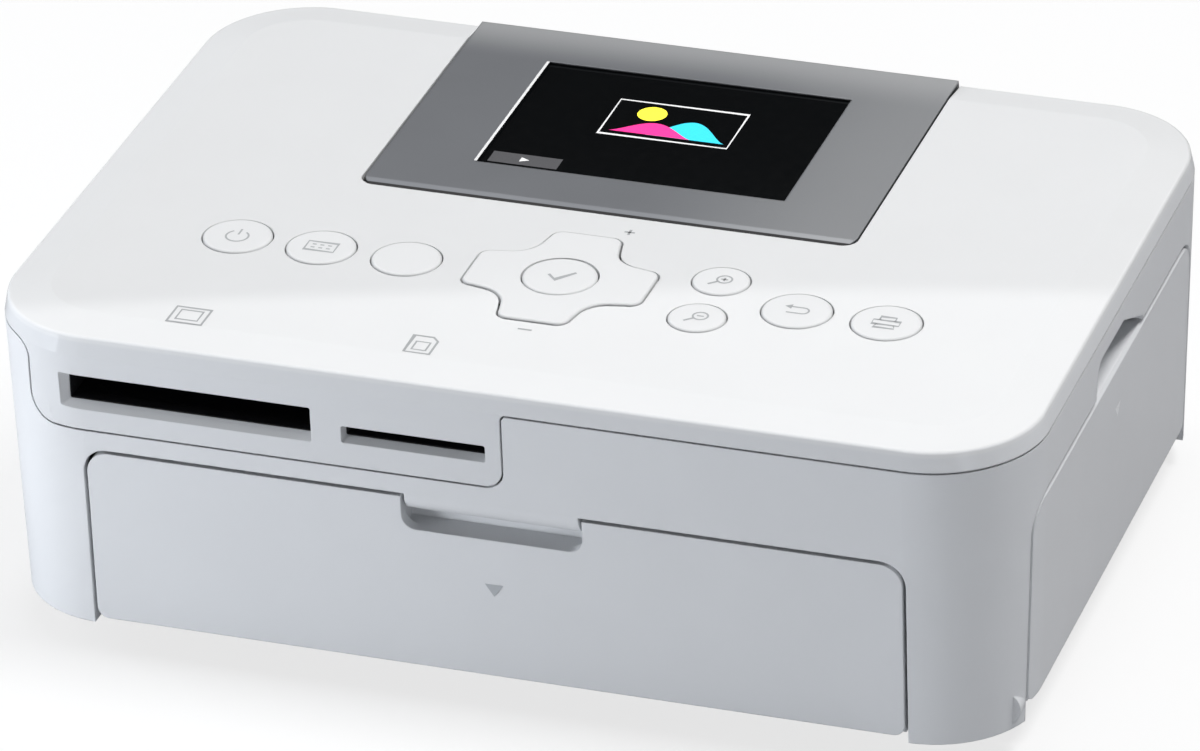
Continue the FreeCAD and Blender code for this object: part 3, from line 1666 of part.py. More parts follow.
def head_heatsink():
    top = arm_pivot_height - arm_plate_drop
    x = (-sink_half_length, sink_half_length)
    pieces = [box(x, (sink_front, sink_front + sink_depth), (sink_bottom, sink_bottom + sink_web))]
    pitch = (sink_depth - sink_fin) / (sink_fin_count - 1)
    for index in range(sink_fin_count):
        y = sink_front + index * pitch
        pieces.append(box(x, (y, y + sink_fin), (sink_bottom, top)))
    return join(pieces)


def head_strip():
    return box(
        (-sink_half_length, sink_half_length), (strip_front, strip_front + strip_depth),
        (sink_bottom - strip_height, sink_bottom))


def fan_housing():
    x = fan_x()
    half = fan_side / 2
    frame = block("yz", (fan_y - half, fan_y + half), (fan_z - half, fan_z + half), x, fan_strut_width)
    frame = frame.cut(rod("yz", (fan_y, fan_z), fan_bore_radius, (x[0] - overrun, x[1] + overrun)))
    strut_x = (x[1] - fan_strut, x[1])
    pieces = [frame, rod("yz", (fan_y, fan_z), fan_hub_radius, strut_x)]
    for turn in (0, 90):
        strut = box(
            strut_x, (fan_y - fan_bore_radius - seam, fan_y + fan_bore_radius + seam),
            (fan_z - fan_strut_width / 2, fan_z + fan_strut_width / 2))
        strut.rotate(V(0, fan_y, fan_z), V(1, 0, 0), turn)
        pieces.append(strut)
    pieces.append(rod("yz", (fan_y, fan_z), fan_pin_radius, (x[0] + fan_strut, x[1])))
    return join(pieces)


def fan_rotor():
    x = fan_x()
    span = (x[0] + seam, x[1] - fan_strut - seam)
    hub = rod("yz", (fan_y, fan_z), fan_hub_radius, span)
    pieces = [hub]
    middle = (span[0] + span[1]) / 2
    for index in range(fan_blade_count):
        half = (span[1] - span[0]) / 3
        blade = box(
            (middle - half, middle + half),
            (fan_y - fan_blade_thickness / 2, fan_y + fan_blade_thickness / 2),
            (fan_z + fan_hub_radius - seam, fan_z + fan_blade_radius))
        blade.rotate(V(middle, fan_y, fan_z), V(0, 0, 1), fan_blade_pitch)
        blade.rotate(V(middle, fan_y, fan_z), V(1, 0, 0), 360 * index / fan_blade_count)
        pieces.append(blade)
    bore = rod("yz", (fan_y, fan_z), fan_pin_radius + running_gap, (x[0] - overrun, x[1] + overrun))
    return join(pieces).cut(bore)


def build():
    """Every piece of the printer under its own name."""
    nodes = {
        "top_cover": top_cover(),
        "main_case": main_case(),
        "base_plate": base_plate(),
        "feet": feet(),
        "case_screws": case_screws(),
        "machine_screws": machine_screws(),
        "bay_liner": bay_liner(),
        "ribbon_liner": ribbon_liner(),
        "front_door": front_door(),
        "side_door": side_door(),
        "door_pins": door_pins(),
        "panel_frame": panel_frame(),
        "panel_back": panel_back(),
        "panel_pins": panel_pins(),
        "lcd_module": lcd_module(),
        "lcd_window": lcd_window(),
        "ok_button": ok_button(),
        "dpad": dpad(),
        "dpad_carrier": dpad_carrier(),
        "key_board": key_board(),
        "key_switches": key_switches(),
        "card_board": card_board(),
        "cf_connector": card_connector(cf_left, cf_width, cf_bottom, cf_height, cf_depth),
        "sd_connector": card_connector(sd_left, sd_width, sd_bottom, sd_height, sd_depth),
        "main_board": main_board(),
        "io_board": io_board(),
        "dc_jack": dc_jack(),
        "usb_port": usb_port(),
        "chassis_frame": chassis_frame(),
        "bushes": bushes(),
        "gear_pins": gear_pins(),
        "platen_shaft": platen_shaft(),
        "platen_roller": platen_roller(),
        "platen_gear": platen_gear(),
        "capstan_shaft": capstan_shaft(),
        "capstan_gear": capstan_gear(),
        "pinch_roller": pinch_roller(),
        "feed_idler": feed_idler(),
        "pickup_idler": pickup_idler(),
        "pickup_shaft": pickup_shaft(),
        "pickup_rolls": pickup_rolls(),
        "motor_bracket": motor_bracket(),
        "feed_motor": motor(feed_pinion_centre, feed_motor_radius),
        "feed_pinion": pinion(feed_pinion_centre, feed_pinion_phase, layer_one),
        "ribbon_motor": motor(ribbon_pinion_centre, ribbon_motor_radius),
        "ribbon_pinion": pinion(ribbon_pinion_centre, ribbon_pinion_phase, layer_two),
        "takeup_spindle": takeup_spindle(),
        "supply_spindle": supply_spindle(),
        "head_arm": head_arm(),
        "head_heatsink": head_heatsink(),
        "head_strip": head_strip(),
        "fan_housing": fan_housing(),
        "fan_rotor": fan_rotor(),
    }
    for name, (x, y, radius) in keys().items():
        nodes[name] = round_key(x, y, radius, ceiling, radius + key_flange_reach, key_rise)
    return nodes


def export(nodes):
    os.makedirs("parts", exist_ok=True)
    for name, shape in nodes.items():
        shape.exportStep("parts/" + name + ".step")


export(build())
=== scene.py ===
import bpy
import bmesh
import json
import math
from mathutils import Matrix, Vector


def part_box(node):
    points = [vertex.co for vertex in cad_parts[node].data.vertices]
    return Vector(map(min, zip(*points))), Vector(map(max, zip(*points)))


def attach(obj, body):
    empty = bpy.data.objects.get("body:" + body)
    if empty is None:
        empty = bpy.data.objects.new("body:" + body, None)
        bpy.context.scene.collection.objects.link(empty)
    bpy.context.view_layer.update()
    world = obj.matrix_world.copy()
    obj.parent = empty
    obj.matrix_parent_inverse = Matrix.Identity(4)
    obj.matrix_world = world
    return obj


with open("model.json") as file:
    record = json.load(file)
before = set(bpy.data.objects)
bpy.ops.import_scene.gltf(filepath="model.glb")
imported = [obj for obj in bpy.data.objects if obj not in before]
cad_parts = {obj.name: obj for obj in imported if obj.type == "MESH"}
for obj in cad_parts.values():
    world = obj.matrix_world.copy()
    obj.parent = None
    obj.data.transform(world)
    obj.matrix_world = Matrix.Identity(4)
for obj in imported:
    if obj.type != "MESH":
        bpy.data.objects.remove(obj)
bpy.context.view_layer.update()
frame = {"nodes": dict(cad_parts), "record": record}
MM = 0.001


def top_of(node):
    """Height of a node's highest point, in millimetres."""
    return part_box(node)[1][2] / MM


def middle_of(node):
    """Middle of a node's top in millimetres, with its place to a hundredth."""
    low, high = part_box(node)
    x, y = (round((low[axis] + high[axis]) / 2 / MM, 2) for axis in (0, 1))
    return x, y, top_of(node)


# Heights of the surfaces that carry printed marks, and the ink's thickness, in millimetres
TOP = top_of("top_cover")
GLASS_TOP = top_of("lcd_window")
INK = 0.02

# Surface finishes
NOISE_LOW = 0.3
NOISE_HIGH = 0.7
CLOUD_SCALE = 70
GRAIN_DETAIL = 3.0
GRAIN_STRENGTH = 0.35
BEVEL_SAMPLES = 4


def parts_of(material):
    """Node tree and main shader of a material."""
    return material.node_tree, material.node_tree.nodes["Principled BSDF"]


def shader_of(name):
    material = bpy.data.materials.new(name)
    material.use_nodes = True
    return (material, *parts_of(material))


def add(tree, kind, **values):
    """Adds a node, and sets its inputs or properties by name."""
    node = tree.nodes.new(kind)
    for key, value in values.items():
        if key in node.inputs:
            node.inputs[key].default_value = value
        else:
            setattr(node, key, value)
    return node


def place(tree, stretch=(1, 1, 1)):
    """Place on the object, stretched along its axes."""
    coordinates = add(tree, "ShaderNodeTexCoord")
    mapping = add(tree, "ShaderNodeMapping", Scale=stretch)
    tree.links.new(coordinates.outputs["Object"], mapping.inputs["Vector"])
    return mapping.outputs["Vector"]


def axis_of(tree, vector, axis):
    parts = add(tree, "ShaderNodeSeparateXYZ")
    tree.links.new(vector, parts.inputs["Vector"])
    return parts.outputs[axis]


def place_along(tree, axis):
    """Place along one axis of the object, in metres."""
    return axis_of(tree, add(tree, "ShaderNodeTexCoord").outputs["Object"], axis)


def noise(tree, vector, scale, detail=2.0):
    node = add(tree, "ShaderNodeTexNoise", Scale=scale, Detail=detail)
    tree.links.new(vector, node.inputs["Vector"])
    return node.outputs["Fac"]


def ramp(tree, value, start, end, low=0.0, high=1.0, bend="LINEAR"):
    """Low up to the start, high from the end on, and a ramp between them."""
    node = add(tree, "ShaderNodeMapRange", interpolation_type=bend)
    for name, bound in (("From Min", start), ("From Max", end), ("To Min", low), ("To Max", high)):
        node.inputs[name].default_value = bound
    tree.links.new(value, node.inputs["Value"])
    return node.outputs["Result"]


def spread(tree, value, low, high):
    """Spreads a noise over a range."""
    return ramp(tree, value, NOISE_LOW, NOISE_HIGH, low, high)


def blend(tree, kind, share):
    """Mix of two colours or vectors by a share: both inputs and the result."""
    node = add(tree, "ShaderNodeMix", data_type=kind)
    tree.links.new(share, node.inputs[0])
    first, second = [pin for pin in node.inputs if pin.type == kind][-2:]
    result = [pin for pin in node.outputs if pin.type == kind][0]
    return first, second, result


def two_tone(tree, share, first_colour, second_colour):
    first, second, result = blend(tree, "RGBA", share)
    first.default_value = (*first_colour, 1)
    second.default_value = (*second_colour, 1)
    return result


def lay_over(material, name, kind, share, value):
    """Mixes a value over what feeds an input of the material's shader, by a share."""
    tree, shader = parts_of(material)
    target = shader.inputs[name]
    first, second, result = blend(tree, kind, share)
    second.default_value = value
    tree.links.new(target.links[0].from_socket, first)
    tree.links.new(result, target)


def finish_of(name, colour, roughness, tone=0.03, grain=2400, depth=0.004, edge=0.25, metallic=0.0,
              coat=0.0, coat_roughness=0.02, stretch=(1, 1, 1), ior=1.46, shine=0.04):
    """Moulded or brushed surface: slight cloudiness, fine grain, uneven gloss and softened edges."""
    material, tree, shader = shader_of(name)
    vector = place(tree, stretch)
    cloud = spread(tree, noise(tree, vector, CLOUD_SCALE), 0, 1)
    fine = noise(tree, vector, grain, GRAIN_DETAIL)
    gloss = spread(tree, fine, max(0.0, roughness - shine), roughness + shine)
    dark = [c * (1 - tone) for c in colour]
    light = [min(1.0, c * (1 + tone)) for c in colour]
    tree.links.new(two_tone(tree, cloud, dark, light), shader.inputs["Base Color"])
    tree.links.new(gloss, shader.inputs["Roughness"])
    bump = add(tree, "ShaderNodeBump", Strength=GRAIN_STRENGTH, Distance=depth * MM)
    tree.links.new(fine, bump.inputs["Height"])
    if edge:
        bevel = add(tree, "ShaderNodeBevel", Radius=edge * MM, samples=BEVEL_SAMPLES)
        tree.links.new(bevel.outputs["Normal"], bump.inputs["Normal"])
        if coat:
            tree.links.new(bevel.outputs["Normal"], shader.inputs["Coat Normal"])
    tree.links.new(bump.outputs["Normal"], shader.inputs["Normal"])
    shader.inputs["Metallic"].default_value = metallic
    shader.inputs["IOR"].default_value = ior
    shader.inputs["Coat Weight"].default_value = coat
    shader.inputs["Coat Roughness"].default_value = coat_roughness
    return material


def blend_along(material, axis, start, end, colour, low, high):
    """Blends a colour in along an axis, from a low share at the start to a high one at the end."""
    tree = material.node_tree
    share = ramp(tree, place_along(tree, axis), start * MM, end * MM, low, high, "SMOOTHSTEP")
    lay_over(material, "Base Color", "RGBA", share, (*colour, 1))


def bare_and_gap_shade_below(material, height, blur, colour, metallic):
    """Leaves the moulding bare below a height, where the metal skin of the face stops; its dark there is
    also painted shade, the shadow in the gap round the part.
    """
    tree, shader = parts_of(material)
    level = place_along(tree, "Z")
    ends = (height - blur) * MM, (height + blur) * MM
    lay_over(material, "Base Color", "RGBA", ramp(tree, level, *ends, 1.0, 0.0), (*colour, 1))
    tree.links.new(ramp(tree, level, *ends, 0.0, metallic), shader.inputs["Metallic"])


def level_coat(material, steep, gentle):
    """Lets the lacquer lie level wherever the face under it slopes only gently."""
    tree = material.node_tree
    surface = add(tree, "ShaderNodeNewGeometry")
    share = ramp(tree, axis_of(tree, surface.outputs["Normal"], "Z"), steep, gentle)
    lay_over(material, "Coat Normal", "VECTOR", share, (0.0, 0.0, 1.0))


def board_finish(name):
    """Circuit board: green mask with copper tracks under it."""
    material, tree, shader = shader_of(name)
    vector = place(tree)
    bricks = add(tree, "ShaderNodeTexBrick", Scale=220, Color1=(0.012, 0.09, 0.04, 1),
                 Color2=(0.016, 0.12, 0.05, 1), Mortar=(0.03, 0.19, 0.08, 1))
    bricks.inputs["Mortar Size"].default_value = 0.06
    tree.links.new(vector, bricks.inputs["Vector"])
    tree.links.new(bricks.outputs["Color"], shader.inputs["Base Color"])
    tree.links.new(spread(tree, noise(tree, vector, 900), 0.25, 0.4), shader.inputs["Roughness"])
    bump = add(tree, "ShaderNodeBump", Strength=0.4, Distance=0.03 * MM)
    tree.links.new(bricks.outputs["Fac"], bump.inputs["Height"])
    tree.links.new(bump.outputs["Normal"], shader.inputs["Normal"])
    return material


def ink_finish(name, colour, roughness=0.5):
    return finish_of(name, colour, roughness, tone=0.05, grain=5000, depth=0.001, edge=0)


def lit_finish(name, colour, strength):
    """Part of the lit picture behind the display glass."""
    material, tree, shader = shader_of(name)
    pixels = noise(tree, place(tree), 9000, 0.0)
    dim = [c * 0.8 for c in colour]
    tone = two_tone(tree, spread(tree, pixels, 0, 1), dim, colour)
    tree.links.new(tone, shader.inputs["Base Color"])
    tree.links.new(tone, shader.inputs["Emission Color"])
    shader.inputs["Emission Strength"].default_value = strength
    shader.inputs["Roughness"].default_value = 0.12
    return material


# Finish of each material slot: colour, roughness and what differs from a plain moulding
WHITE = (0.83, 0.835, 0.84)
STEEL = dict(metallic=1.0, tone=0.05, grain=1800, stretch=(1, 12, 1), edge=0.15)
SILVER_METAL = 0.85
FINISHES = {
    "cover_white": (WHITE, 0.42, dict(tone=0.006, coat=0.9, coat_roughness=0.003, edge=0.3)),
    "case_white": ((0.79, 0.80, 0.815), 0.36, dict(tone=0.008, coat=0.25, coat_roughness=0.18, edge=0.35)),
    "key_white": (WHITE, 0.38, dict(tone=0.008, coat=0.5, coat_roughness=0.05, edge=0.2)),
    "base_grey": ((0.30, 0.30, 0.31), 0.55, dict(grain=900, depth=0.02)),
    "foot_rubber": ((0.03, 0.03, 0.032), 0.75, dict(grain=1500, depth=0.02)),
    "liner_grey": ((0.10, 0.10, 0.105), 0.5, dict(depth=0.01)),
    "panel_silver": ((0.24, 0.25, 0.27), 0.33, dict(tone=0.02, grain=6500, depth=0.003, edge=0.35,
                                                    metallic=SILVER_METAL, coat=0.2, coat_roughness=0.15)),
    "panel_back_grey": ((0.22, 0.22, 0.23), 0.5, dict(grain=1200, depth=0.01)),
    "lcd_dark": ((0.015, 0.015, 0.018), 0.3, {}),
    "window_black": ((0.002, 0.0025, 0.003), 0.05, dict(grain=500, depth=0.0005, edge=0.1, shine=0.01,
                                                        ior=1.22)),
    "screw_steel": ((0.50, 0.50, 0.51), 0.35, STEEL),
    "pin_steel": ((0.55, 0.55, 0.56), 0.25, STEEL),
    "chassis_steel": ((0.52, 0.53, 0.54), 0.38, STEEL),
    "connector_steel": ((0.56, 0.56, 0.57), 0.3, STEEL),
    "motor_steel": ((0.46, 0.46, 0.46), 0.32, STEEL),
    "shaft_steel": ((0.60, 0.60, 0.61), 0.18, STEEL),
    "sink_aluminium": ((0.66, 0.66, 0.68), 0.42, STEEL),
    "pinion_brass": ((0.66, 0.50, 0.22), 0.28, STEEL),
    "connector_black": ((0.02, 0.02, 0.022), 0.4, dict(depth=0.01)),
    "switch_black": ((0.022, 0.022, 0.024), 0.45, dict(depth=0.01)),
    "fan_black": ((0.018, 0.018, 0.02), 0.4, dict(depth=0.01)),
    "bush_nylon": ((0.68, 0.68, 0.62), 0.4, {}),
    "gear_nylon": ((0.72, 0.72, 0.66), 0.4, dict(depth=0.008)),
    "roller_rubber": ((0.03, 0.03, 0.03), 0.65, dict(grain=1500, depth=0.02)),
    "strip_ceramic": ((0.52, 0.40, 0.26), 0.15, {}),
}
SLOTS = {name: finish_of(name, colour, roughness, **more)
         for name, (colour, roughness, more) in FINISHES.items()}
SLOTS["board_green"] = board_finish("board_green")

# Painted sheen on the display panel towards its right and rear ends, and its bare moulding under the skin,
# whose dark also paints the shadow in the gap round the panel
PAINTED_SHEEN = (0.62, 0.63, 0.64)
BARE_AND_GAP_SHADE = (0.012, 0.012, 0.013)
SKIN_DEPTH = 0.3
SKIN_BLUR = 0.02
blend_along(SLOTS["panel_silver"], "X", 0.0, 43.0, PAINTED_SHEEN, 0.0, 0.38)
blend_along(SLOTS["panel_silver"], "Y", 50.0, 63.0, PAINTED_SHEEN, 0.0, 0.75)
# Two-tone panel: dark below the skin, which also paints the shadow in the gap round the panel
bare_and_gap_shade_below(SLOTS["panel_silver"], TOP - SKIN_DEPTH, SKIN_BLUR, BARE_AND_GAP_SHADE, SILVER_METAL)

# Painted shade on the cover's sides below its rim, and the level lacquer on its crown
SIDE_SHADE = (0.775, 0.785, 0.80)
SHADE_FULL = TOP - 2.2
SHADE_GONE = TOP - 1.6
STEEP = 0.95
GENTLE = 0.985
blend_along(SLOTS["cover_white"], "Z", SHADE_FULL, SHADE_GONE, SIDE_SHADE, 1.0, 0.0)
level_coat(SLOTS["cover_white"], STEEP, GENTLE)

for part in frame["record"]["subparts"]:
    mesh = frame["nodes"][part["node"]].data
    mesh.materials.clear()
    mesh.materials.append(SLOTS[part["material_slot"]])

MARK_GREY = ink_finish("mark_grey", (0.42, 0.43, 0.44))
DOOR_MARK = ink_finish("door_mark", (0.50, 0.52, 0.54))
SIDE_MARK = ink_finish("side_mark", (0.93, 0.94, 0.95), 0.3)
# Pale ink for the painted highlight on the window's edge
WINDOW_HIGHLIGHT = ink_finish("window_highlight", (0.90, 0.90, 0.90), 0.3)
LIT_SUN = lit_finish("lit_sun", (0.95, 0.85, 0.05), 0.9)
LIT_HILL = lit_finish("lit_hill", (0.03, 0.55, 0.70), 0.9)
LIT_NEAR = lit_finish("lit_near", (0.80, 0.03, 0.25), 0.9)
LIT_LINE = lit_finish("lit_line", (0.75, 0.75, 0.75), 0.6)
LIT_BAR = lit_finish("lit_bar", (0.07, 0.07, 0.075), 0.5)

# Lines and outlines of printed marks, in millimetres
RING_POINTS = 24
SHORTEST = 1e-9
MITRE_LIMIT = 0.5


def arc(centre, radius, start, end, steps=24):
    points = []
    for index in range(steps + 1):
        turn = math.radians(start + (end - start) * index / steps)
        points.append((centre[0] + radius * math.cos(turn), centre[1] + radius * math.sin(turn)))
    return points


def circle(centre, radius):
    return arc(centre, radius, 0, 360 - 360 / RING_POINTS, RING_POINTS - 1)


def rectangle(left, bottom, right, top):
    return [(left, bottom), (right, bottom), (right, top), (left, top)]


def ribbon(points, width, closed=False):
    """Quads along a line, mitred at its corners."""
    count = len(points)
    rows = []
    for index, (x, y) in enumerate(points):
        before = points[index - 1] if closed or index else points[index]
        after = points[(index + 1) % count] if closed or index < count - 1 else points[index]
        along = Vector((after[0] - before[0], after[1] - before[1]))
        if along.length < SHORTEST:
            along = Vector((1, 0))
        along.normalize()
        step = Vector((x - before[0], y - before[1]))
        cut = 1.0
        if step.length > SHORTEST and (closed or 0 < index < count - 1):
            step.normalize()
            cut = max(MITRE_LIMIT, abs(along.dot(step)))
        side = Vector((-along.y, along.x)) * (width / 2 / cut)
        rows.append(((x + side.x, y + side.y), (x - side.x, y - side.y)))
    faces = []
    for index in range(count if closed else count - 1):
        a, b = rows[index], rows[(index + 1) % count]
        faces.append([a[0], a[1], b[1], b[0]])
    return faces


def piece_of(name, mesh, material):
    """Turns a finished mesh into an object of the scene."""
    data = bpy.data.meshes.new(name)
    mesh.to_mesh(data)
    mesh.free()
    data.materials.append(material)
    piece = bpy.data.objects.new(name, data)
    bpy.context.scene.collection.objects.link(piece)
    return piece


def mark(name, faces, origin, body, material, across=(1, 0, 0), up=(0, 1, 0)):
    """Thin printed shape on a surface, from faces in millimetres about an origin."""
    u, v = Vector(across), Vector(up)
    out = u.cross(v)
    mesh = bmesh.new()
    for face in faces:
        corners = [mesh.verts.new((Vector(origin) + u * x + v * y + out * INK) * MM) for x, y in face]
        made = mesh.faces.new(corners)
        made.normal_update()
        if made.normal.dot(out) < 0:
            made.normal_flip()
    piece = piece_of(name, mesh, material)
    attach(piece, body)


# Generic signs, each drawn about its own middle
THIN = 0.34
HANDLE_LINE = THIN * 1.3
TICK_LINE = THIN * 1.5
PAD_LINE = 0.45
CARD_LINE = 0.4
LABEL_LINE = 0.3


def strokes(x, y, reach, width):
    """Level and upright stroke about a point."""
    level = ribbon([(x - reach, y), (x + reach, y)], width)
    upright = ribbon([(x, y - reach), (x, y + reach)], width)
    return level, upright


def power_sign():
    """Open ring with an upright stroke."""
    return ribbon(arc((0, -0.2), 1.9, 125, 415), THIN) + ribbon([(0, 0.3), (0, 2.3)], THIN)


def menu_sign():
    """Frame with two rows of three dashes."""
    faces = ribbon(rectangle(-2.6, -1.5, 2.6, 1.5), THIN, True)
    for x in (-1.35, 0.0, 1.35):
        for y in (0.55, -0.5):
            faces += ribbon([(x - 0.35, y), (x + 0.35, y)], THIN)
    return faces


def zoom_sign(inside):
    """Magnifier with strokes in its lens."""
    lens = ribbon(circle((0.45, 0.45), 1.25), THIN, True)
    return lens + ribbon([(-0.5, -0.5), (-1.8, -1.7)], HANDLE_LINE) + inside


def back_sign():
    """Arrow that turns back to the left."""
    bend = arc((1.0, 0.0), 1.0, 90, -90, 12)
    faces = ribbon([(-1.2, 1.0), (1.0, 1.0)] + bend + [(1.0, -1.0), (-1.6, -1.0)], THIN)
    return faces + [[(-2.3, 1.0), (-1.1, 0.25), (-1.1, 1.75)]]


def print_sign():
    """Printer with a sheet above and a sheet in front."""
    faces = ribbon(rectangle(-2.3, -0.9, 2.3, 0.5), THIN, True)
    faces += ribbon([(-1.3, 0.5), (-1.3, 1.7), (1.3, 1.7), (1.3, 0.5)], THIN)
    return faces + ribbon([(-1.4, -0.9), (-1.8, -2.0), (1.8, -2.0), (1.4, -0.9)], THIN)


def card_sign(outline, label):
    return ribbon(outline, CARD_LINE, True) + ribbon(label, LABEL_LINE, True)


LENS_LEVEL, LENS_UPRIGHT = strokes(0.45, 0.45, 0.6, THIN)
PAD_LEVEL, PAD_UPRIGHT = strokes(0, 0, 0.9, PAD_LINE)
TICK = ribbon([(-2.0, 0.2), (-0.5, -1.4), (2.3, 1.7)], TICK_LINE)
FEWER = ribbon([(-1.2, 0), (1.2, 0)], PAD_LINE)
LARGE_CARD = card_sign(rectangle(-3.0, -2.6, 3.0, 2.6), rectangle(-1.9, -1.5, 1.9, 1.7))
SMALL_CARD = card_sign([(-2.2, -2.8), (2.2, -2.8), (2.2, 1.6), (1.1, 2.8), (-2.2, 2.8)],
                       rectangle(-1.2, -1.8, 1.2, 0.9))

# Signs in grey ink: name, shape, place and body
SIGNS = [
    ("power_symbol", power_sign(), middle_of("power_button"), "power_key"),
    ("menu_symbol", menu_sign(), middle_of("menu_button"), "menu_key"),
    ("zoom_in_symbol", zoom_sign(LENS_LEVEL + LENS_UPRIGHT), middle_of("zoom_in_button"), "zoom_in_key"),
    ("zoom_out_symbol", zoom_sign(LENS_LEVEL), middle_of("zoom_out_button"), "zoom_out_key"),
    ("back_symbol", back_sign(), middle_of("back_button"), "back_key"),
    ("print_symbol", print_sign(), middle_of("print_button"), "print_key"),
    ("confirm_symbol", TICK, middle_of("ok_button"), "ok_key"),
    ("more_symbol", PAD_LEVEL + PAD_UPRIGHT, (6.0, -5.8, TOP), "case"),
    ("fewer_symbol", FEWER, (0.1, -42.6, TOP), "case"),
    ("large_card_symbol", LARGE_CARD, (-54.3, -52.9, TOP), "case"),
    ("small_card_symbol", SMALL_CARD, (-14.3, -52.0, TOP), "case"),
]
for name, faces, origin, body in SIGNS:
    mark(name, faces, origin, body, MARK_GREY)

# Opening marks on the two doors: a small triangle under each finger notch
DOOR_LEAN = 0.0274
TRIANGLE = [[(-1.6, 0.9), (0.0, -1.3), (1.6, 0.9)]]
mark("front_door_mark", TRIANGLE, (0.5, -62.66, 22.9), "paper_door", DOOR_MARK, (1, 0, 0), (0, DOOR_LEAN, 1))
mark("side_door_mark", TRIANGLE, (88.47, -0.5, 36.5), "ribbon_door", SIDE_MARK, (0, 1, 0), (DOOR_LEAN, 0, 1))

# Picture on the display: sun and hills in plain colours, and a bar above them
SCREEN = (0.5, 34.0, GLASS_TOP)
OVER_SCREEN = (0.5, 34.0, GLASS_TOP + INK)
GLASS = (0, 0, GLASS_TOP)
OVER_GLASS = (0, 0, GLASS_TOP + INK)
BORDER_LINE = 0.35
HILL_FOOT = -4.2
HILL_STEPS = 24
HILL_BEND = 1.4


def hill(left, right, height):
    points = []
    for index in range(HILL_STEPS + 1):
        share = index / HILL_STEPS
        x = left + (right - left) * share
        points.append((x, HILL_FOOT + height * math.sin(math.pi * share) ** HILL_BEND))
    return [points]


BORDER = ribbon(rectangle(-11.5, -5.6, 11.5, 7.4), BORDER_LINE, True)
STATUS_BAR = [rectangle(-25.7, 13.4, -13.4, 17.2)]
STATUS_SIGN = [[(-20.4, 14.5), (-18.8, 15.3), (-20.4, 16.1)]]
mark("picture_sun", [circle((-4.6, 3.4), 2.6)], SCREEN, "display", LIT_SUN)
mark("picture_hill_far", hill(-3.5, 10.5, 6.4), SCREEN, "display", LIT_HILL)
mark("picture_hill_near", hill(-10.0, 4.5, 4.4), OVER_SCREEN, "display", LIT_NEAR)
mark("picture_border", BORDER, SCREEN, "display", LIT_LINE)
mark("status_bar", STATUS_BAR, GLASS, "display", LIT_BAR)
mark("status_sign", STATUS_SIGN, OVER_GLASS, "display", LIT_LINE)

# Painted highlight along the left edge of the display window: a thin white strip
HIGHLIGHT_WIDTH = 0.5
window_low, window_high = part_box("lcd_window")
edge = ribbon([(0, window_low[1] / MM), (0, window_high[1] / MM)], HIGHLIGHT_WIDTH)
highlight_place = (window_low[0] / MM - HIGHLIGHT_WIDTH / 2, 0, top_of("panel_frame"))
mark("window_edge_highlight", edge, highlight_place, "display", WINDOW_HIGHLIGHT)

# Painted shade in the throats of the two card slots, as thin black tubes: left, right, bottom and top of
# each slot, in millimetres
LARGE_SLOT = (-72.5, -29.9, 47.2, 52.5)
SMALL_SLOT = (-24.4, 0.0, 47.5, 49.9)
SLEEVE_WALL = 0.12
SLEEVE_GAP = 0.03
SLEEVE_FRONT = -61.60
SLEEVE_BACK = -59.25


def sleeve(name, slot):
    """Thin black tube inside a card slot, from its lip back to the connector: painted shade for the slot's
    dark inside.
    """
    left, right, bottom, top = slot
    mesh = bmesh.new()
    tubes = []
    for inset in (SLEEVE_GAP, SLEEVE_GAP + SLEEVE_WALL):
        corners = rectangle(left + inset, bottom + inset, right - inset, top - inset)
        tubes.append([[mesh.verts.new(Vector((x, y, z)) * MM) for x, z in corners]
                      for y in (SLEEVE_FRONT, SLEEVE_BACK)])
    (outer_front, outer_back), (inner_front, inner_back) = tubes
    for index in range(4):
        after = (index + 1) % 4
        mesh.faces.new((outer_front[index], outer_back[index], outer_back[after], outer_front[after]))
        mesh.faces.new((inner_front[index], inner_front[after], inner_back[after], inner_back[index]))
        mesh.faces.new((outer_front[index], outer_front[after], inner_front[after], inner_front[index]))
        mesh.faces.new((outer_back[index], inner_back[index], inner_back[after], outer_back[after]))
    bmesh.ops.recalc_face_normals(mesh, faces=mesh.faces)
    piece = piece_of(name, mesh, SLOTS["connector_black"])
    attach(piece, "case")


sleeve("large_slot_throat", LARGE_SLOT)
sleeve("small_slot_throat", SMALL_SLOT)

# Floor: pale for the camera, and a darker grey for the light that it gives back
FLOOR_TONES = ((0.90, 0.90, 0.90), (0.92, 0.92, 0.92))
FLOOR_BOUNCE = (0.40, 0.40, 0.41, 1)
FLOOR_GLOW = 0.75
FLOOR_REACH = 8.0
FLOOR_CELLS = 8
PURE_WHITE = (1, 1, 1, 1)


def mixed_shader(tree, share, first, second):
    """Mixes two shaders by a share, which is a number or the output of a node."""
    node = add(tree, "ShaderNodeMixShader")
    if isinstance(share, float):
        node.inputs["Fac"].default_value = share
    else:
        tree.links.new(share, node.inputs["Fac"])
    tree.links.new(first, node.inputs[1])
    tree.links.new(second, node.inputs[2])
    return node.outputs["Shader"]


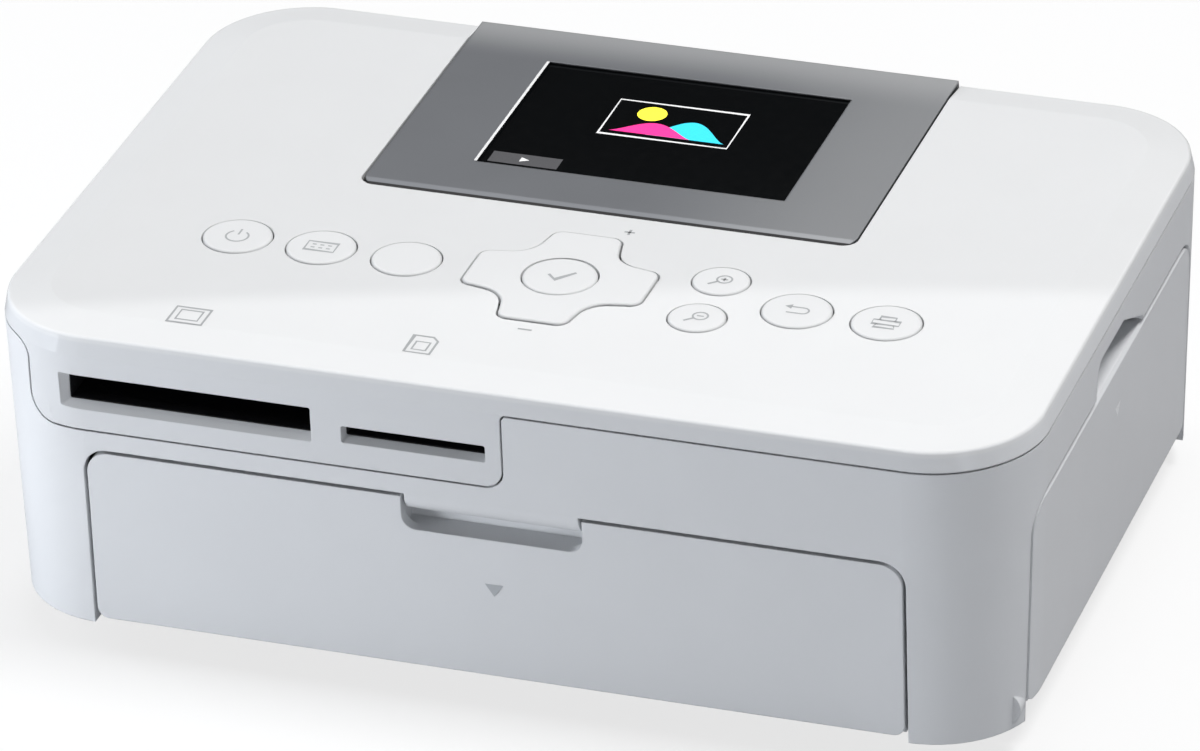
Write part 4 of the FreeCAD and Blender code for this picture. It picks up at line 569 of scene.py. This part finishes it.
def floor_finish():
    material, tree, shader = shader_of("pale_floor")
    patches = spread(tree, noise(tree, place(tree), 3), 0, 1)
    tree.links.new(two_tone(tree, patches, *FLOOR_TONES), shader.inputs["Base Color"])
    shader.inputs["Roughness"].default_value = 0.9
    shader.inputs["Specular IOR Level"].default_value = 0.1
    dim = add(tree, "ShaderNodeBsdfDiffuse", Color=FLOOR_BOUNCE)
    glow = add(tree, "ShaderNodeEmission", Color=PURE_WHITE, Strength=1.0)
    path = add(tree, "ShaderNodeLightPath")
    seen = mixed_shader(tree, FLOOR_GLOW, shader.outputs["BSDF"], glow.outputs["Emission"])
    either = mixed_shader(tree, path.outputs["Is Camera Ray"], dim.outputs["BSDF"], seen)
    tree.links.new(either, tree.nodes["Material Output"].inputs["Surface"])
    return material


def make_floor():
    mesh = bmesh.new()
    bmesh.ops.create_grid(mesh, x_segments=FLOOR_CELLS, y_segments=FLOOR_CELLS, size=FLOOR_REACH)
    piece = piece_of("floor", mesh, floor_finish())


# Sky: where the bright panel in the gloss starts, how its edge tilts and blurs, and its two levels
SKY_EDGE = 0.4759
SKY_TILT = -0.016
SKY_BLUR = 0.0008
SKY_DARK = 0.05
SKY_BRIGHT = 1.15
SOFT_COLOUR = (0.95, 0.97, 1.0, 1)
SOFT_STRENGTH = 0.09


def make_sky():
    """White behind the camera's view, soft light for the surfaces, and a large bright panel in the gloss."""
    world = bpy.data.worlds.new("studio")
    bpy.context.scene.world = world
    world.use_nodes = True
    tree = world.node_tree
    soft = tree.nodes["Background"]
    soft.inputs["Color"].default_value = SOFT_COLOUR
    soft.inputs["Strength"].default_value = SOFT_STRENGTH
    white = add(tree, "ShaderNodeBackground", Color=PURE_WHITE, Strength=1.0)
    gloss = add(tree, "ShaderNodeBackground", Strength=1.0)
    facing = add(tree, "ShaderNodeTexCoord").outputs["Generated"]
    slope = add(tree, "ShaderNodeMath", operation="MULTIPLY_ADD")
    slope.inputs[1].default_value = SKY_TILT
    tree.links.new(axis_of(tree, facing, "X"), slope.inputs[0])
    tree.links.new(axis_of(tree, facing, "Z"), slope.inputs[2])
    ends = SKY_EDGE - SKY_BLUR, SKY_EDGE + SKY_BLUR
    panel = ramp(tree, slope.outputs["Value"], *ends, SKY_DARK, SKY_BRIGHT)
    tree.links.new(panel, gloss.inputs["Color"])
    path = add(tree, "ShaderNodeLightPath")
    soft_out, gloss_out, white_out = (node.outputs["Background"] for node in (soft, gloss, white))
    lit = mixed_shader(tree, path.outputs["Is Glossy Ray"], soft_out, gloss_out)
    seen = mixed_shader(tree, path.outputs["Is Camera Ray"], lit, white_out)
    tree.links.new(seen, tree.nodes["World Output"].inputs["Surface"])


# Soft boxes: name, place, size, power and colour
DAY = (1.0, 1.0, 1.0)
SHADE = (0.91, 0.95, 1.0)
LAMPS = [
    ("key_light", (0.43, 0.08, 1.12), (0.35, 0.35), 9.9, DAY),
    ("top_light", (-0.10, 0.35, 1.20), (0.9, 0.8), 3.4, DAY),
    ("front_light", (-0.33, -0.33, 0.035), (0.28, 0.06), 1.14, SHADE),
    ("left_light", (-0.90, 0.10, 0.35), (0.4, 0.6), 4.1, SHADE),
    ("corner_light", (0.42, -0.42, 0.06), (0.12, 0.10), 0.43, SHADE),
]
AIM = (0, 0, 0.03)


def lamp(name, place_at, size, power, colour):
    """Soft box that points at the object and doesn't show in the gloss."""
    data = bpy.data.lights.new(name, "AREA")
    data.shape = "RECTANGLE"
    data.size, data.size_y = size
    data.energy = power
    data.color = colour
    light = bpy.data.objects.new(name, data)
    light.location = place_at
    light.rotation_euler = (Vector(AIM) - Vector(place_at)).to_track_quat("-Z", "Y").to_euler()
    light.visible_glossy = False
    bpy.context.scene.collection.objects.link(light)


# Camera solved from the photograph: a turn vector, a shift in millimetres, and pixels of the picture
CAMERA_TURN = Vector((2.0570549, 0.3156187, -0.2208424))
CAMERA_SHIFT = Vector((1.1615444, 23.7826821, 1374.1408638))
FOCAL_PIXELS = 8060.8865
OFFSET_X_PIXELS = 8.4354
OFFSET_Y_PIXELS = 11.8707
WIDTH_PIXELS = 1200.0
SENSOR_WIDTH = 36.0
NEAREST = 0.05
FARTHEST = 60.0


def make_camera():
    rows = Matrix.Rotation(CAMERA_TURN.length, 3, CAMERA_TURN.normalized())
    where = -(rows.transposed() @ CAMERA_SHIFT) * MM
    facing = Matrix((rows[0], -rows[1], -rows[2])).transposed().to_4x4()
    data = bpy.data.cameras.new("camera")
    data.sensor_width = SENSOR_WIDTH
    data.lens = FOCAL_PIXELS / WIDTH_PIXELS * data.sensor_width
    data.shift_x = -OFFSET_X_PIXELS / WIDTH_PIXELS
    data.shift_y = OFFSET_Y_PIXELS / WIDTH_PIXELS
    data.clip_start = NEAREST
    data.clip_end = FARTHEST
    camera = bpy.data.objects.new("camera", data)
    camera.matrix_world = Matrix.Translation(where) @ facing
    bpy.context.scene.collection.objects.link(camera)
    bpy.context.scene.camera = camera


make_floor()
make_sky()
for lamp_row in LAMPS:
    lamp(*lamp_row)
make_camera()
bpy.context.scene.view_settings.view_transform = "Standard"
